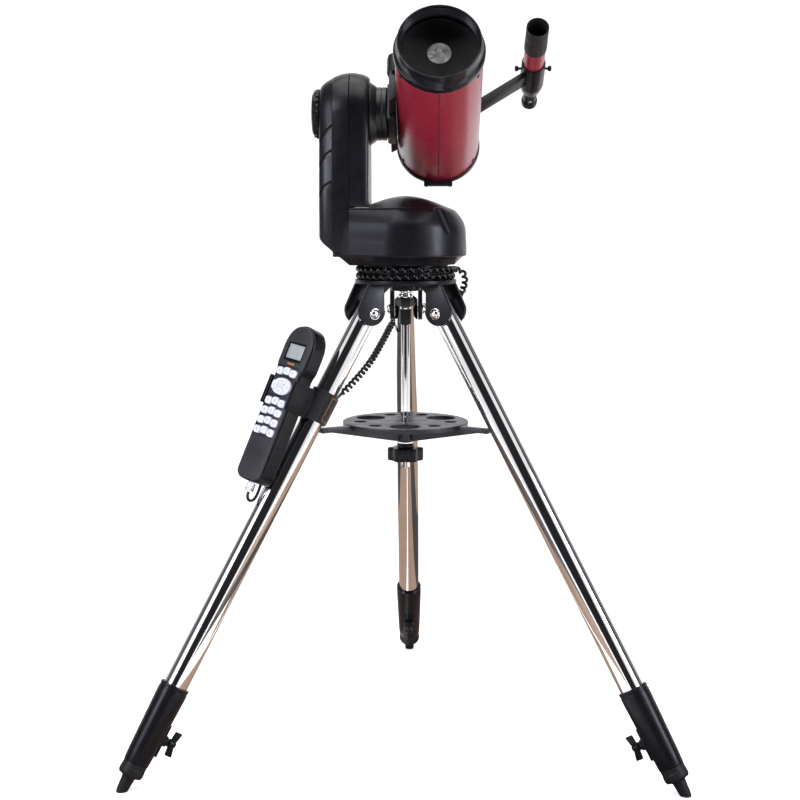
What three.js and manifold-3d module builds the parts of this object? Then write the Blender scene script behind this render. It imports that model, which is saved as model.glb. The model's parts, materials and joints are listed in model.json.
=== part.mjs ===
// A single-arm computerised telescope mount on a folding tripod, with its optical tube,
// finder and corded hand controller. Millimetres, +Z up, the optical tube looks toward -Y.
// The model is laid out about the azimuth axis, and the last lines move the origin to the
// middle of the footprint on the floor.

import * as THREE from "three";
import { mergeVertices } from "three/addons/utils/BufferGeometryUtils.js";
import Module from "manifold-3d";

const wasm = await Module();
wasm.setup();

// ---------------------------------------------------------------- driving dimensions

const GAP = 0.3; // running and resting clearance between neighbours
const FINENESS = 0.46; // share of the full segment counts that round shapes are built with
const LEG_SEGMENTS = 40; // nested tubes share one count, so their facets line up
const SCOPE_SEGMENTS = 52;

// Tripod
const LEG_AZIMUTHS = { back: 90, left: 210, right: 330 };
const LEG_SPLAY = THREE.MathUtils.degToRad(30.7); // leg angle from the vertical
const PIVOT_RADIUS = 59.3; // hinge bolt from the azimuth axis
const PIVOT_Z = 597; // hinge bolt above the floor
const LEG_TUBE_RADIUS = 15.875; // 1.25 inch chromed steel tube
const LEG_TUBE_WALL = 1.2;
const LEG_TUBE_TOP = 14; // tube end above the hinge bolt, along the leg
const LEG_TUBE_END = 600;
const SLEEVE_TOP = 546;
const SLEEVE_END = 654;
const WING_SCREW_DOWN = 616;
const INNER_TUBE_RADIUS = 14.3;
const INNER_TUBE_TOP = 240;
const FOOT_COLLAR_TOP = 656;
const FOOT_COLLAR_END = 671;
const FOOT_TIP_RADIUS = 6.5;
const HEAD_RADIUS = 68.5;
const HEAD_TOP = 641;
const HEAD_PLATE = 7;
const EAR_INNER = 16.4; // ear faces, measured sideways from the leg's plane
const EAR_OUTER = 22.4;
const HINGE_BOLT_RADIUS = 3;

// Centre column and tray
const ROD_RADIUS = 6;
const ROD_BOTTOM = 383;
const ROD_TOP = 580;
const TRAY_TOP = 447.8;
const TRAY_RADIUS = 85.6;
const TRAY_THICK = 4.5;
const TRAY_REACH = 129; // arm tip from the azimuth axis
const TRAY_HUB_BOTTOM = 419.5;
const KNOB_BOTTOM = 393;
const KNOB_TOP = 411;

// Azimuth base
const PAN_BOTTOM = 661.2;
const BASE_SEAM = 675;
const BASE_RADIUS = 82;
const BASE_WALL = 2.6;
const ARM_HALF_DEPTH = 57;
const ARM_BLOCK_TOP = 736.7;
const BASE_RING_RADIUS = 57.5;

// Arm
const ALT_Z = 860; // altitude axis height
const ARM_INNER_FACE = -47.7;
const ARM_SEAM = -73.4;
const ARM_OUTER_FACE = -113;
const COVER_WALL = 2.5;

// Worm drives, the same set on both axes
const WHEEL_TEETH = 40;
const WHEEL_TIP = 40.1;
const WHEEL_ROOT = 37.2;
const WHEEL_THICK = 5;
const WORM_DISTANCE = 44.6;
const WORM_THREAD_RADIUS = 5; // centreline of the thread
const WORM_WIRE = 1.1;
const WORM_CORE = 4.1;
const WORM_LENGTH = 16;
const AZ_GEAR_Z = 677;
const ALT_GEAR_X = -85.5;

// Optical tube, laid out along its own axis from the altitude axis
const ALTITUDE = THREE.MathUtils.degToRad(28.1);
const TUBE_AXIS_X = 43.8;
const TUBE_RADIUS = 55.5;
const TUBE_WALL = 1.5;
const FRONT_LIP = 168.5;
const FRONT_FLANGE = 148.5;
const REAR_RING = -79.9;
const REAR_PLATE = -94;
const FINDER_SIDE = 132;
const FINDER_UP = 111;
const FINDER_FRONT = 36;
const FINDER_REAR = -151;

// Hand controller, laid out on the left leg
const HANDSET_OUT = 47.3;
const HANDSET_DOWN = 166.5;
const HANDSET_TILT = THREE.MathUtils.degToRad(6.5);
const HANDSET_ROLL = THREE.MathUtils.degToRad(17); // face turned toward the front
const HANDSET_LENGTH = 206;
const HEAD_REACH = 111; // top of the rounded head above the handset origin
const HANDSET_THICK = 27;
const KEY_STAND = 2.4;
const KEY_TRAVEL = 0.8;
const CLIP_LOW = -2; // lower edge of the clip on the handset
const STRAP_TOP = 120;
const STRAP_END = 162;

// Curly cord
const COIL_RADIUS = 4.5; // of the turns stored round the base
const RUN_RADIUS = 5.6; // of the hanging stretch
const CORD_RADIUS = 2;
const WRAP_RADIUS = 62.9;

// ---------------------------------------------------------------- materials

const finishes = {
  blackPlastic: { color: 0x17171a, roughness: 0.45, metalness: 0 },
  softBlack: { color: 0x1d1c1f, roughness: 0.6, metalness: 0 },
  blackMetal: { color: 0x141416, roughness: 0.35, metalness: 0.5 },
  rubber: { color: 0x0e0e0f, roughness: 0.8, metalness: 0 },
  chrome: { color: 0xd9d9dc, roughness: 0.12, metalness: 1 },
  steel: { color: 0xa8a8aa, roughness: 0.35, metalness: 1 },
  brass: { color: 0xc8a050, roughness: 0.35, metalness: 1 },
  redPaint: { color: 0x8a0618, roughness: 0.12, metalness: 0.2 },
  glass: { color: 0xbfd0dc, roughness: 0.02, metalness: 0 },
  mirror: { color: 0xe8e8ea, roughness: 0.03, metalness: 1 },
  board: { color: 0x1f5a36, roughness: 0.5, metalness: 0 },
  silicone: { color: 0xdcdcee, roughness: 0.55, metalness: 0 },
  greyPlastic: { color: 0x3b383e, roughness: 0.55, metalness: 0 },
  fabric: { color: 0x141416, roughness: 0.95, metalness: 0 },
};

// ---------------------------------------------------------------- solids and booleans

function toSolid(geometry) {
  const bare = geometry.clone();
  bare.deleteAttribute("normal");
  bare.deleteAttribute("uv");
  const merged = mergeVertices(bare, 1e-4);
  return new wasm.Manifold(
    new wasm.Mesh({
      numProp: 3,
      vertProperties: new Float32Array(merged.attributes.position.array),
      triVerts: new Uint32Array(merged.index.array),
    })
  );
}

function toGeometry(solid) {
  const mesh = solid.getMesh();
  const geometry = new THREE.BufferGeometry();
  geometry.setAttribute("position", new THREE.BufferAttribute(mesh.vertProperties, 3));
  geometry.setIndex(new THREE.BufferAttribute(mesh.triVerts, 1));
  geometry.computeVertexNormals();
  return geometry;
}

function union(...parts) {
  return toGeometry(parts.map(toSolid).reduce((all, next) => all.add(next)));
}

function cut(body, ...tools) {
  return toGeometry(tools.map(toSolid).reduce((rest, tool) => rest.subtract(tool), toSolid(body)));
}

// A turned solid about Z from [radius, z] points, starting and ending on the axis.
function turned(points, segments = 32) {
  const profile = points.map(([r, z]) => new THREE.Vector2(r, z));
  const around = Math.max(10, Math.round(segments * FINENESS));
  return new THREE.LatheGeometry(profile, around).rotateX(Math.PI / 2);
}

// A turned ring about Z: the profile closes on itself, listed anticlockwise in (r, z).
function turnedRing(points, segments = 32) {
  return turned([...points, points[0]], segments);
}

function rod(radius, z0, z1, segments = 24) {
  return turned([[0, z0], [radius, z0], [radius, z1], [0, z1]], segments);
}

function pipe(outer, inner, z0, z1, segments = 32) {
  return turnedRing([[inner, z0], [outer, z0], [outer, z1], [inner, z1]], segments);
}

function block(x0, x1, y0, y1, z0, z1) {
  const box = new THREE.BoxGeometry(x1 - x0, y1 - y0, z1 - z0);
  return box.translate((x0 + x1) / 2, (y0 + y1) / 2, (z0 + z1) / 2);
}

// A plate in the XY plane, from z0 to z1.
function plate(shape, z0, z1, curveSegments = 10) {
  const options = { depth: z1 - z0, bevelEnabled: false, curveSegments };
  return new THREE.ExtrudeGeometry(shape, options).translate(0, 0, z0);
}

function shapeOf(points) {
  return new THREE.Shape(points.map(([x, y]) => new THREE.Vector2(x, y)));
}

function polygon(radius, count) {
  const points = [];
  for (let i = 0; i < count; i++) {
    const a = (i / count) * 2 * Math.PI;
    points.push([radius * Math.cos(a), radius * Math.sin(a)]);
  }
  return shapeOf(points);
}

const disc = (radius, segments) => polygon(radius, Math.max(8, Math.round(segments * FINENESS)));

// A knob outline whose rim swells into a number of lobes.
function lobedShape(radius, depth, lobes, count) {
  const points = [];
  for (let i = 0; i < count; i++) {
    const a = (i / count) * 2 * Math.PI;
    const r = radius - depth * 0.5 * (1 - Math.cos(lobes * a));
    points.push([r * Math.cos(a), r * Math.sin(a)]);
  }
  return shapeOf(points);
}

// A closed solid through matching outlines: sections are [{ points: [[x, y]...], z }].
function loft(sections) {
  const count = sections[0].points.length;
  const positions = [];
  for (const { points, z } of sections) {
    for (const [x, y] of points) {
      positions.push(x, y, z);
    }
  }
  const index = [];
  for (let s = 0; s + 1 < sections.length; s++) {
    for (let i = 0; i < count; i++) {
      const j = (i + 1) % count;
      const a = s * count + i;
      const b = s * count + j;
      index.push(a, b, b + count, a, b + count, a + count);
    }
  }
  const capOf = (section) =>
    THREE.ShapeUtils.triangulateShape(section.points.map(([x, y]) => new THREE.Vector2(x, y)), []);
  for (const [a, b, c] of capOf(sections[0])) {
    index.push(a, c, b);
  }
  const last = (sections.length - 1) * count;
  for (const [a, b, c] of capOf(sections[sections.length - 1])) {
    index.push(last + a, last + b, last + c);
  }
  const geometry = new THREE.BufferGeometry();
  geometry.setAttribute("position", new THREE.Float32BufferAttribute(positions, 3));
  geometry.setIndex(index);
  return geometry;
}

// A round bar along a smooth path.
function tubeAlong(curve, radius, sides, steps) {
  const options = { steps, bevelEnabled: false, extrudePath: curve };
  return new THREE.ExtrudeGeometry(polygon(radius, sides), options);
}

// Turn a Z-based solid so that its +Z points along -X, +X, +Y or -Y.
const alongMinusX = (geometry) => geometry.rotateY(-Math.PI / 2);
const alongX = (geometry) => geometry.rotateY(Math.PI / 2);
const alongY = (geometry) => geometry.rotateX(-Math.PI / 2);

// ---------------------------------------------------------------- the scene graph

const mount = new THREE.Group();

function add(parent, name, geometry, finish) {
  const mesh = new THREE.Mesh(geometry, new THREE.MeshStandardMaterial(finishes[finish]));
  mesh.name = name;
  parent.add(mesh);
  return mesh;
}

function group(parent, x, y, z) {
  const node = new THREE.Group();
  node.position.set(x, y, z);
  parent.add(node);
  return node;
}

// ---------------------------------------------------------------- tripod head and centre column

// One ear plate in the leg's plane: x outward from the azimuth axis, y up.
function earShape() {
  const lobe = new THREE.Shape();
  const cx = 62.4;
  const cy = 600.8;
  lobe.moveTo(44, HEAD_TOP - HEAD_PLATE + 2);
  lobe.lineTo(44, 600);
  lobe.absarc(cx, cy, 19.6, Math.PI, 2 * Math.PI + 0.28, false);
  lobe.lineTo(66.5, HEAD_TOP - HEAD_PLATE + 2);
  return lobe;
}

function makeHead() {
  const plateBottom = HEAD_TOP - HEAD_PLATE;
  const parts = [
    turned([
      [0, plateBottom], [HEAD_RADIUS - 2.5, plateBottom], [HEAD_RADIUS, plateBottom + 2],
      [HEAD_RADIUS, HEAD_TOP - 0.8], [HEAD_RADIUS - 0.8, HEAD_TOP], [0, HEAD_TOP],
    ], 56),
    rod(21, 625.5, plateBottom + 2, 32),
  ];
  for (const azimuth of Object.values(LEG_AZIMUTHS)) {
    const turn = THREE.MathUtils.degToRad(azimuth);
    for (const side of [-EAR_OUTER, EAR_INNER]) {
      const ear = plate(earShape(), 0, EAR_OUTER - EAR_INNER, 7).rotateX(Math.PI / 2);
      parts.push(ear.translate(0, side + EAR_OUTER - EAR_INNER, 0).rotateZ(turn));
    }
  }
  const holes = [rod(5.2, 600, 660, 24)];
  for (const azimuth of Object.values(LEG_AZIMUTHS)) {
    const hole = alongY(rod(HINGE_BOLT_RADIUS + GAP, -30, 30, 20));
    holes.push(hole.translate(PIVOT_RADIUS, 0, PIVOT_Z).rotateZ(THREE.MathUtils.degToRad(azimuth)));
  }
  return cut(union(...parts), ...holes);
}

function makeMountBolt() {
  const washer = rod(9.8, 617.2, 625.2, 32);
  const nut = plate(polygon(12.2, 6), 603.2, 617.4);
  const sleeve = rod(8.2, ROD_TOP + GAP, 603.4, 24);
  const stud = rod(4.8, 625, 655, 24);
  return union(washer, nut, sleeve, stud);
}

add(mount, "tripod_head", makeHead(), "blackPlastic");
add(mount, "mount_bolt", makeMountBolt(), "steel");
add(mount, "centre_rod", rod(ROD_RADIUS, ROD_BOTTOM, ROD_TOP, 24), "chrome");

// The tray is a pierced disc on three arms that reach the insides of the legs.
function makeTray() {
  const bottom = TRAY_TOP - TRAY_THICK;
  const parts = [
    plate(disc(TRAY_RADIUS, 56), bottom, TRAY_TOP),
    rod(10.5, TRAY_HUB_BOTTOM, TRAY_TOP, 28),
  ];
  const arm = [[6, -6], [TRAY_REACH - 8, -4.5], [TRAY_REACH, -7.5], [TRAY_REACH, 7.5],
    [TRAY_REACH - 8, 4.5], [6, 6]];
  const rib = [[6, TRAY_HUB_BOTTOM + 1], [14, TRAY_HUB_BOTTOM + 1], [TRAY_REACH - 12, bottom - 3],
    [TRAY_REACH - 12, bottom + 1], [6, bottom + 1]];
  const tools = [rod(ROD_RADIUS + GAP, 400, 460, 24)];
  for (const azimuth of Object.values(LEG_AZIMUTHS)) {
    const turn = THREE.MathUtils.degToRad(azimuth);
    parts.push(plate(shapeOf(arm), bottom - 3.4, TRAY_TOP - 1.2).rotateZ(turn));
    parts.push(plate(shapeOf(rib), -2, 2).rotateX(Math.PI / 2).rotateZ(turn));
    const between = turn + Math.PI / 3;
    tools.push(plate(disc(20, 28), 430, 460).translate(56, 0, 0).rotateZ(between));
    for (const side of [-1, 1]) {
      tools.push(plate(disc(8.5, 20), 430, 460).translate(62, 0, 0).rotateZ(turn + side * 0.36));
    }
  }
  return cut(union(...parts), ...tools);
}

function makeTrayKnob() {
  const head = plate(lobedShape(24.5, 4.5, 6, 36), KNOB_BOTTOM, KNOB_TOP);
  const collar = rod(11.5, KNOB_TOP - 1, TRAY_HUB_BOTTOM - 2.4, 28);
  const washer = rod(10.5, TRAY_HUB_BOTTOM - 2.5, TRAY_HUB_BOTTOM - GAP, 28);
  return cut(union(head, collar, washer), rod(ROD_RADIUS + GAP, 380, 430, 24));
}

add(mount, "accessory_tray", makeTray(), "softBlack");
add(mount, "tray_knob", makeTrayKnob(), "blackPlastic");

// ---------------------------------------------------------------- legs

// In a leg's own frame +Z runs up along the leg from the hinge bolt, +X faces outward
// and up, and +Y is sideways.
const legs = {};

function makeSleeve() {
  const outer = turned([
    [0, -SLEEVE_END], [16.4, -SLEEVE_END], [19.4, -SLEEVE_TOP - 14], [19.4, -SLEEVE_TOP],
    [0, -SLEEVE_TOP],
  ], LEG_SEGMENTS);
  const boss = rod(7.2, 14, 24.5, 20).rotateY(-Math.PI / 2).translate(0, 0, -WING_SCREW_DOWN);
  const upper = rod(LEG_TUBE_RADIUS + GAP, -LEG_TUBE_END - GAP, -500, LEG_SEGMENTS);
  const lower = rod(INNER_TUBE_RADIUS + GAP, -700, -500, LEG_SEGMENTS);
  const thread = rod(3.3, 0, 40, 16).rotateY(-Math.PI / 2).translate(0, 0, -WING_SCREW_DOWN);
  return cut(union(outer, boss), upper, lower, thread);
}

// The foot: a collar that caps the tube, and a tip cut flat where it meets the floor.
function makeFoot() {
  const tip = [
    [0, -715], [FOOT_TIP_RADIUS, -715], [FOOT_TIP_RADIUS + 2.2, -FOOT_COLLAR_END - 1],
    [15.2, -FOOT_COLLAR_END], [16.4, -FOOT_COLLAR_END + 3], [16, -FOOT_COLLAR_TOP],
    [INNER_TUBE_RADIUS - 1.7, -FOOT_COLLAR_TOP], [INNER_TUBE_RADIUS - 1.7, -640], [0, -640],
  ];
  const body = turned(tip, LEG_SEGMENTS);
  const seat = pipe(INNER_TUBE_RADIUS + GAP, INNER_TUBE_RADIUS - 1.8, -668 - GAP, -600, LEG_SEGMENTS);
  const down = PIVOT_Z / Math.cos(LEG_SPLAY);
  const floor = block(-60, 60, -60, 60, -60, 0).rotateY(LEG_SPLAY).translate(0, 0, -down);
  return cut(body, seat, floor);
}

function makeWingScrew() {
  const shank = rod(3, 14.9, 30, 16);
  const hub = rod(5.6, 28, 41, 20);
  const wing = new THREE.Shape();
  wing.moveTo(-4, 29);
  wing.lineTo(4, 29);
  wing.bezierCurveTo(10, 30, 17, 31, 16.5, 37);
  wing.bezierCurveTo(16, 43, 9, 41, 4, 37);
  wing.lineTo(-4, 37);
  wing.bezierCurveTo(-9, 41, -16, 43, -16.5, 37);
  wing.bezierCurveTo(-17, 31, -10, 30, -4, 29);
  const wings = plate(wing, -2.4, 2.4, 4).rotateX(Math.PI / 2);
  return union(shank, hub, wings).rotateY(-Math.PI / 2).translate(0, 0, -WING_SCREW_DOWN);
}

function makeHingeBolt() {
  const reach = EAR_OUTER + GAP;
  const head = [
    [0, -reach - 5.2], [5.2, -reach - 4], [7.5, -reach], [HINGE_BOLT_RADIUS, -reach],
    [HINGE_BOLT_RADIUS, reach], [7.5, reach], [5.2, reach + 4], [0, reach + 5.2],
  ];
  return alongY(turned(head, 26));
}

for (const [side, azimuth] of Object.entries(LEG_AZIMUTHS)) {
  const turn = THREE.MathUtils.degToRad(azimuth);
  const leg = group(mount, PIVOT_RADIUS * Math.cos(turn), PIVOT_RADIUS * Math.sin(turn), PIVOT_Z);
  leg.rotation.set(0, -LEG_SPLAY, turn, "ZYX");
  legs[side] = leg;
  const bore = LEG_TUBE_RADIUS - LEG_TUBE_WALL;
  const tube = cut(
    pipe(LEG_TUBE_RADIUS, bore, -LEG_TUBE_END, LEG_TUBE_TOP, LEG_SEGMENTS),
    alongY(rod(HINGE_BOLT_RADIUS + GAP, -30, 30, 16))
  );
  add(leg, `leg_tube_${side}`, tube, "chrome");
  add(leg, `leg_sleeve_${side}`, makeSleeve(), "blackPlastic");
  const wall = INNER_TUBE_RADIUS - 1.4;
  const inner = pipe(INNER_TUBE_RADIUS, wall, -668, -INNER_TUBE_TOP, LEG_SEGMENTS);
  add(leg, `inner_tube_${side}`, inner, "chrome");
  add(leg, `foot_${side}`, makeFoot(), "rubber");
  add(leg, `wing_screw_${side}`, makeWingScrew(), "blackPlastic");
  add(leg, `hinge_bolt_${side}`, makeHingeBolt(), "steel");
}

// ---------------------------------------------------------------- worm drive

function makeWheel(boreRadius) {
  const points = [];
  const pitch = (2 * Math.PI) / WHEEL_TEETH;
  for (let i = 0; i < WHEEL_TEETH; i++) {
    const middle = (i + 0.5) * pitch;
    const rootHalf = 1.6 / WHEEL_ROOT;
    const tipHalf = 0.9 / WHEEL_TIP;
    for (const [r, offset] of [[WHEEL_ROOT, -rootHalf], [WHEEL_TIP, -tipHalf],
      [WHEEL_TIP, tipHalf], [WHEEL_ROOT, rootHalf]]) {
      points.push([r * Math.cos(middle + offset), r * Math.sin(middle + offset)]);
    }
  }
  const shape = shapeOf(points);
  shape.holes.push(disc(boreRadius, 40));
  return plate(shape, -WHEEL_THICK / 2, WHEEL_THICK / 2);
}

// The worm lies along X below the wheel, with its shaft running on to the motor.
function makeWorm() {
  class Helix extends THREE.Curve {
    getPoint(t, target = new THREE.Vector3()) {
      const meshRadius = WORM_DISTANCE - WORM_THREAD_RADIUS;
      const lead = (2 * Math.PI * meshRadius) / WHEEL_TEETH;
      const turns = (t - 0.5) * ((WORM_LENGTH - 3) / lead);
      const a = 2 * Math.PI * turns;
      const r = WORM_THREAD_RADIUS;
      return target.set(turns * lead, r * Math.cos(a), r * Math.sin(a));
    }
  }
  const half = WORM_LENGTH / 2;
  const thread = tubeAlong(new Helix(), WORM_WIRE, 4, 20);
  const core = alongX(turned([
    [0, -half], [WORM_CORE, -half], [WORM_CORE, half], [1.5, half], [1.5, half + 18],
    [0, half + 18],
  ], 20));
  return union(core, thread).translate(0, -WORM_DISTANCE, 0);
}

function makeMotor() {
  const half = WORM_LENGTH / 2;
  const gearbox = alongX(rod(7.4, half + 9, half + 22, 24));
  const can = alongX(rod(8, half + 21.5, half + 37, 24));
  const bore = alongX(rod(1.5 + GAP, 0, half + 18 + GAP, 16));
  return cut(union(gearbox, can), bore).translate(0, -WORM_DISTANCE, 0);
}

// ---------------------------------------------------------------- azimuth base

function makeBaseRing() {
  const ring = turned([
    [0, HEAD_TOP + GAP], [BASE_RING_RADIUS, HEAD_TOP + GAP], [BASE_RING_RADIUS, PAN_BOTTOM - 1],
    [20, PAN_BOTTOM - 1], [20, AZ_GEAR_Z - 2.8], [14, AZ_GEAR_Z - 2.8],
    [14, AZ_GEAR_Z + 7], [0, AZ_GEAR_Z + 7],
  ], 48);
  return cut(ring, rod(5.1, 630, 658, 24));
}

function makeAzimuthWheel() {
  return makeWheel(14 + 2 * GAP).translate(0, 0, AZ_GEAR_Z);
}

// The base in plan: a circle whose tangents run out to the corners of the arm's foot.
function basePlan(inset, left, halfDepth) {
  const radius = BASE_RADIUS - inset;
  const start = Math.PI - Math.atan2(halfDepth, -left) - Math.acos(radius / Math.hypot(left, halfDepth));
  const points = [];
  const steps = 26;
  for (let i = 0; i <= steps; i++) {
    const a = -start + (2 * start * i) / steps;
    points.push([radius * Math.cos(a), radius * Math.sin(a)]);
  }
  points.push([left, halfDepth], [left, -halfDepth]);
  return points;
}

function makePan() {
  const outside = loft([
    { points: basePlan(15, -74, 52), z: PAN_BOTTOM },
    { points: basePlan(0.6, -90, ARM_HALF_DEPTH - 0.6), z: BASE_SEAM - 0.6 },
  ]);
  const inside = loft([
    { points: basePlan(18, -72, 49), z: PAN_BOTTOM + 2.4 },
    { points: basePlan(3.6, -87, ARM_HALF_DEPTH - 3.6), z: BASE_SEAM + 1 },
  ]);
  return cut(outside, inside, rod(20 + 2 * GAP, 640, 700, 48));
}

// Heights and insets of the housing, from the seam up to the crown of the dome.
const HOUSING = [[0, 675], [0.6, 694], [2.8, 714], [14, 731], [26, 737], [50, 746.4],
  [68, 750.8]];

function makeHousing() {
  const round = HOUSING.map(([inset, z]) => [BASE_RADIUS - inset, z]);
  const skin = turned([[0, BASE_SEAM], ...round, [0, 752.2]], 64);
  const flank = (wall, left, top) => loft([...HOUSING.slice(0, 4), [24, ARM_BLOCK_TOP]].map(
    ([inset, z]) => ({ points: basePlan(inset + wall, left, ARM_HALF_DEPTH - wall), z: Math.min(z, top) })
  ));
  const trim = block(-120, ARM_SEAM + GAP, -100, 100, 600, 800);
  const hollow = round.map(([r, z]) => [Math.max(r - BASE_WALL, 1), z - BASE_WALL]);
  const room = turned([[0, 670], [BASE_RADIUS - BASE_WALL, 670], ...hollow, [0, 749.4]], 64);
  const inner = ARM_HALF_DEPTH - BASE_WALL;
  const foot = flank(0, ARM_SEAM + GAP, ARM_BLOCK_TOP);
  const well = flank(BASE_WALL, -90, ARM_BLOCK_TOP - BASE_WALL).translate(0, 0, -0.5);
  const passage = block(-90, ARM_INNER_FACE - 3, -inner + 6, inner - 6, 670, 760);
  return cut(union(skin, foot), trim, room, well, passage);
}

add(mount, "base_ring", makeBaseRing(), "blackPlastic");
add(mount, "azimuth_wheel", makeAzimuthWheel(), "brass");
add(mount, "base_pan", makePan(), "softBlack");
add(mount, "base_housing", makeHousing(), "softBlack");
const azimuthDrive = group(mount, 0, 0, AZ_GEAR_Z);
add(azimuthDrive, "azimuth_worm", makeWorm(), "steel");
add(azimuthDrive, "azimuth_motor", makeMotor(), "blackMetal");

// ---------------------------------------------------------------- arm

// The arm from the side: a half round about the altitude axis on straight sides.
// Listed as [y, z] so that a loft along X can use it.
function armOutline(radius, halfDepth, bottom) {
  const points = [];
  const steps = 14;
  for (let i = 0; i <= steps; i++) {
    const a = (Math.PI * i) / steps;
    points.push([radius * Math.cos(a), ALT_Z + radius * Math.sin(a)]);
  }
  points.push([-halfDepth, ALT_Z - 110], [-halfDepth, bottom + 3], [-halfDepth + 3, bottom]);
  points.push([halfDepth - 3, bottom], [halfDepth, bottom + 3], [halfDepth, ALT_Z - 110]);
  return points;
}

// Loft through outlines in the YZ plane; rows are [x, radius, halfDepth, bottom].
function armLoft(rows) {
  const sections = rows.map(([x, radius, halfDepth, bottom]) => ({
    points: armOutline(radius, halfDepth, bottom),
    z: x,
  }));
  // Swap (y, z, x) into (x, y, z).
  const turn = new THREE.Matrix4().set(0, 0, 1, 0, 1, 0, 0, 0, 0, 1, 0, 0, 0, 0, 0, 1);
  return loft(sections).applyMatrix4(turn);
}

function makeOuterCover() {
  const outside = armLoft([
    [ARM_OUTER_FACE, 33, 44, 697], [-111.6, 36, 48, 694], [-108, 40, 51.5, 690.5],
    [-99, 45.8, 55, 682.5], [-91, 49.8, 56.2, 675.4], [-84, 52.2, ARM_HALF_DEPTH, 675.2],
    [ARM_SEAM - GAP, 53.6, ARM_HALF_DEPTH, 675],
  ]);
  const w = COVER_WALL;
  const inside = armLoft([
    [ARM_OUTER_FACE + w, 33 - w, 44 - w, 699], [-106, 39.5 - w, 51 - w, 693],
    [-97, 45.5 - w, 54.6 - w, 685.5], [-88, 49.8 - w, 56.4 - w, 678],
    [ARM_SEAM + 1, 53.6 - w, ARM_HALF_DEPTH - w, 677.5],
  ]);
  const shaftHole = alongMinusX(rod(9, 60, 130, 24)).translate(0, 0, ALT_Z);
  return cut(outside, inside, shaftHole);
}

function makeInnerCover() {
  const bottom = ARM_BLOCK_TOP + GAP;
  const outside = armLoft([
    [ARM_SEAM + GAP, 53.6, ARM_HALF_DEPTH, bottom], [-66, 53.4, ARM_HALF_DEPTH, bottom],
    [-53, 50, 56, bottom], [-49.2, 48.2, 54.6, bottom], [ARM_INNER_FACE, 46.6, 53, bottom],
  ]);
  const w = COVER_WALL;
  const inside = armLoft([
    [ARM_SEAM - 2, 53.6 - w, ARM_HALF_DEPTH - w, 700], [-66, 53.4 - w, ARM_HALF_DEPTH - w, 700],
    [-54.5, 50 - w, 56 - w, 700], [ARM_INNER_FACE - w, 46.6 - w, 53 - w, 700],
  ]);
  const shaftHole = alongMinusX(rod(9, 30, 90, 24)).translate(0, 0, ALT_Z);
  const dome = turned([[0, 700], ...HOUSING.map(([inset, z]) => [BASE_RADIUS - inset + GAP, z + GAP]),
    [0, 753]], 64);
  return cut(outside, inside, shaftHole, dome);
}

function makeArmFrame() {
  const upright = block(-72, -68, -28, 28, 664, 892);
  const foot = block(-72, -42, -24, 24, 664, 668);
  const boss = alongMinusX(rod(15, 61, 79, 28)).translate(0, 0, ALT_Z);
  const bore = alongMinusX(rod(8 + GAP, 50, 90, 28)).translate(0, 0, ALT_Z);
  return cut(union(upright, foot, boss), bore);
}

function makeCircuitBoard() {
  const board = block(-67.6, -66, -24, 24, 752, 832);
  const chip = block(-66.1, -63.5, -9, 5, 780, 794);
  const driver = block(-66.1, -64.2, -18, -8, 808, 820);
  const socket = block(-66.1, -58, 8, 20, 754, 768);
  return union(board, chip, driver, socket);
}

add(mount, "arm_frame", makeArmFrame(), "steel");
add(mount, "arm_outer_cover", makeOuterCover(), "softBlack");
add(mount, "arm_inner_cover", makeInnerCover(), "softBlack");
add(mount, "circuit_board", makeCircuitBoard(), "board");

// The drive's own frame: wheel axis toward -X, worm below it and lying along -Y.
const altitudeDrive = group(mount, ALT_GEAR_X, 0, ALT_Z);
const driveTurn = new THREE.Matrix4().makeBasis(
  new THREE.Vector3(0, -1, 0),
  new THREE.Vector3(0, 0, 1),
  new THREE.Vector3(-1, 0, 0)
);
altitudeDrive.rotation.setFromRotationMatrix(driveTurn);

function makeAltitudeWheel() {
  const shaftStart = -27.5; // clutch end, measured from the wheel toward -X
  const shaft = turned([
    [0, shaftStart - 29.8], [8, shaftStart - 29.8], [8, 31.5], [0, 31.5],
  ], 28);
  return union(makeWheel(7), shaft);
}

add(altitudeDrive, "altitude_wheel", makeAltitudeWheel(), "brass");
add(altitudeDrive, "altitude_worm", makeWorm(), "steel");
add(altitudeDrive, "altitude_motor", makeMotor(), "blackMetal");

function makeClutchKnob() {
  const rim = plate(lobedShape(32.5, 1.4, 12, 36), 114, 121.5);
  const cap = turned([[0, 114], [29, 114], [29, 121], [26, 123.6], [18, 124.6], [0, 125]], 40);
  return alongMinusX(cut(union(rim, cap), rod(8 + GAP, 110, 118.5, 28))).translate(0, 0, ALT_Z);
}

function makeAltitudeHub() {
  const body = turned([
    [0, 24.3], [33.5, 24.3], [35, 26], [35, 38], [41, 38.6], [41, 46], [40, 47.1], [0, 47.1],
  ], 44);
  return alongMinusX(cut(body, rod(8 + GAP, 27.5, 60, 28))).translate(0, 0, ALT_Z);
}

add(mount, "clutch_knob", makeClutchKnob(), "blackPlastic");
add(mount, "altitude_hub", makeAltitudeHub(), "blackMetal");

// ---------------------------------------------------------------- optical tube

// Tube frame: +Z forward along the optical axis, +X right, +Y upward across the tube.
const scope = group(mount, TUBE_AXIS_X, 0, ALT_Z);
scope.rotation.x = Math.PI / 2 - ALTITUDE;

function makeSaddle() {
  const back = -24 - TUBE_AXIS_X;
  const body = block(back, back + 10.6, -27, 27, -32, 32);
  const slot = [[0, -21.4], [8.2, -16.4], [8.2, 16.4], [0, 21.4]];
  const groove = plate(shapeOf(slot), -40, 40).translate(back + 3.6, 0, 0);
  const screw = alongY(rod(3.3, 10, 40, 16)).translate(back + 7, 0, 0);
  return cut(body, groove, screw);
}

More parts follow.
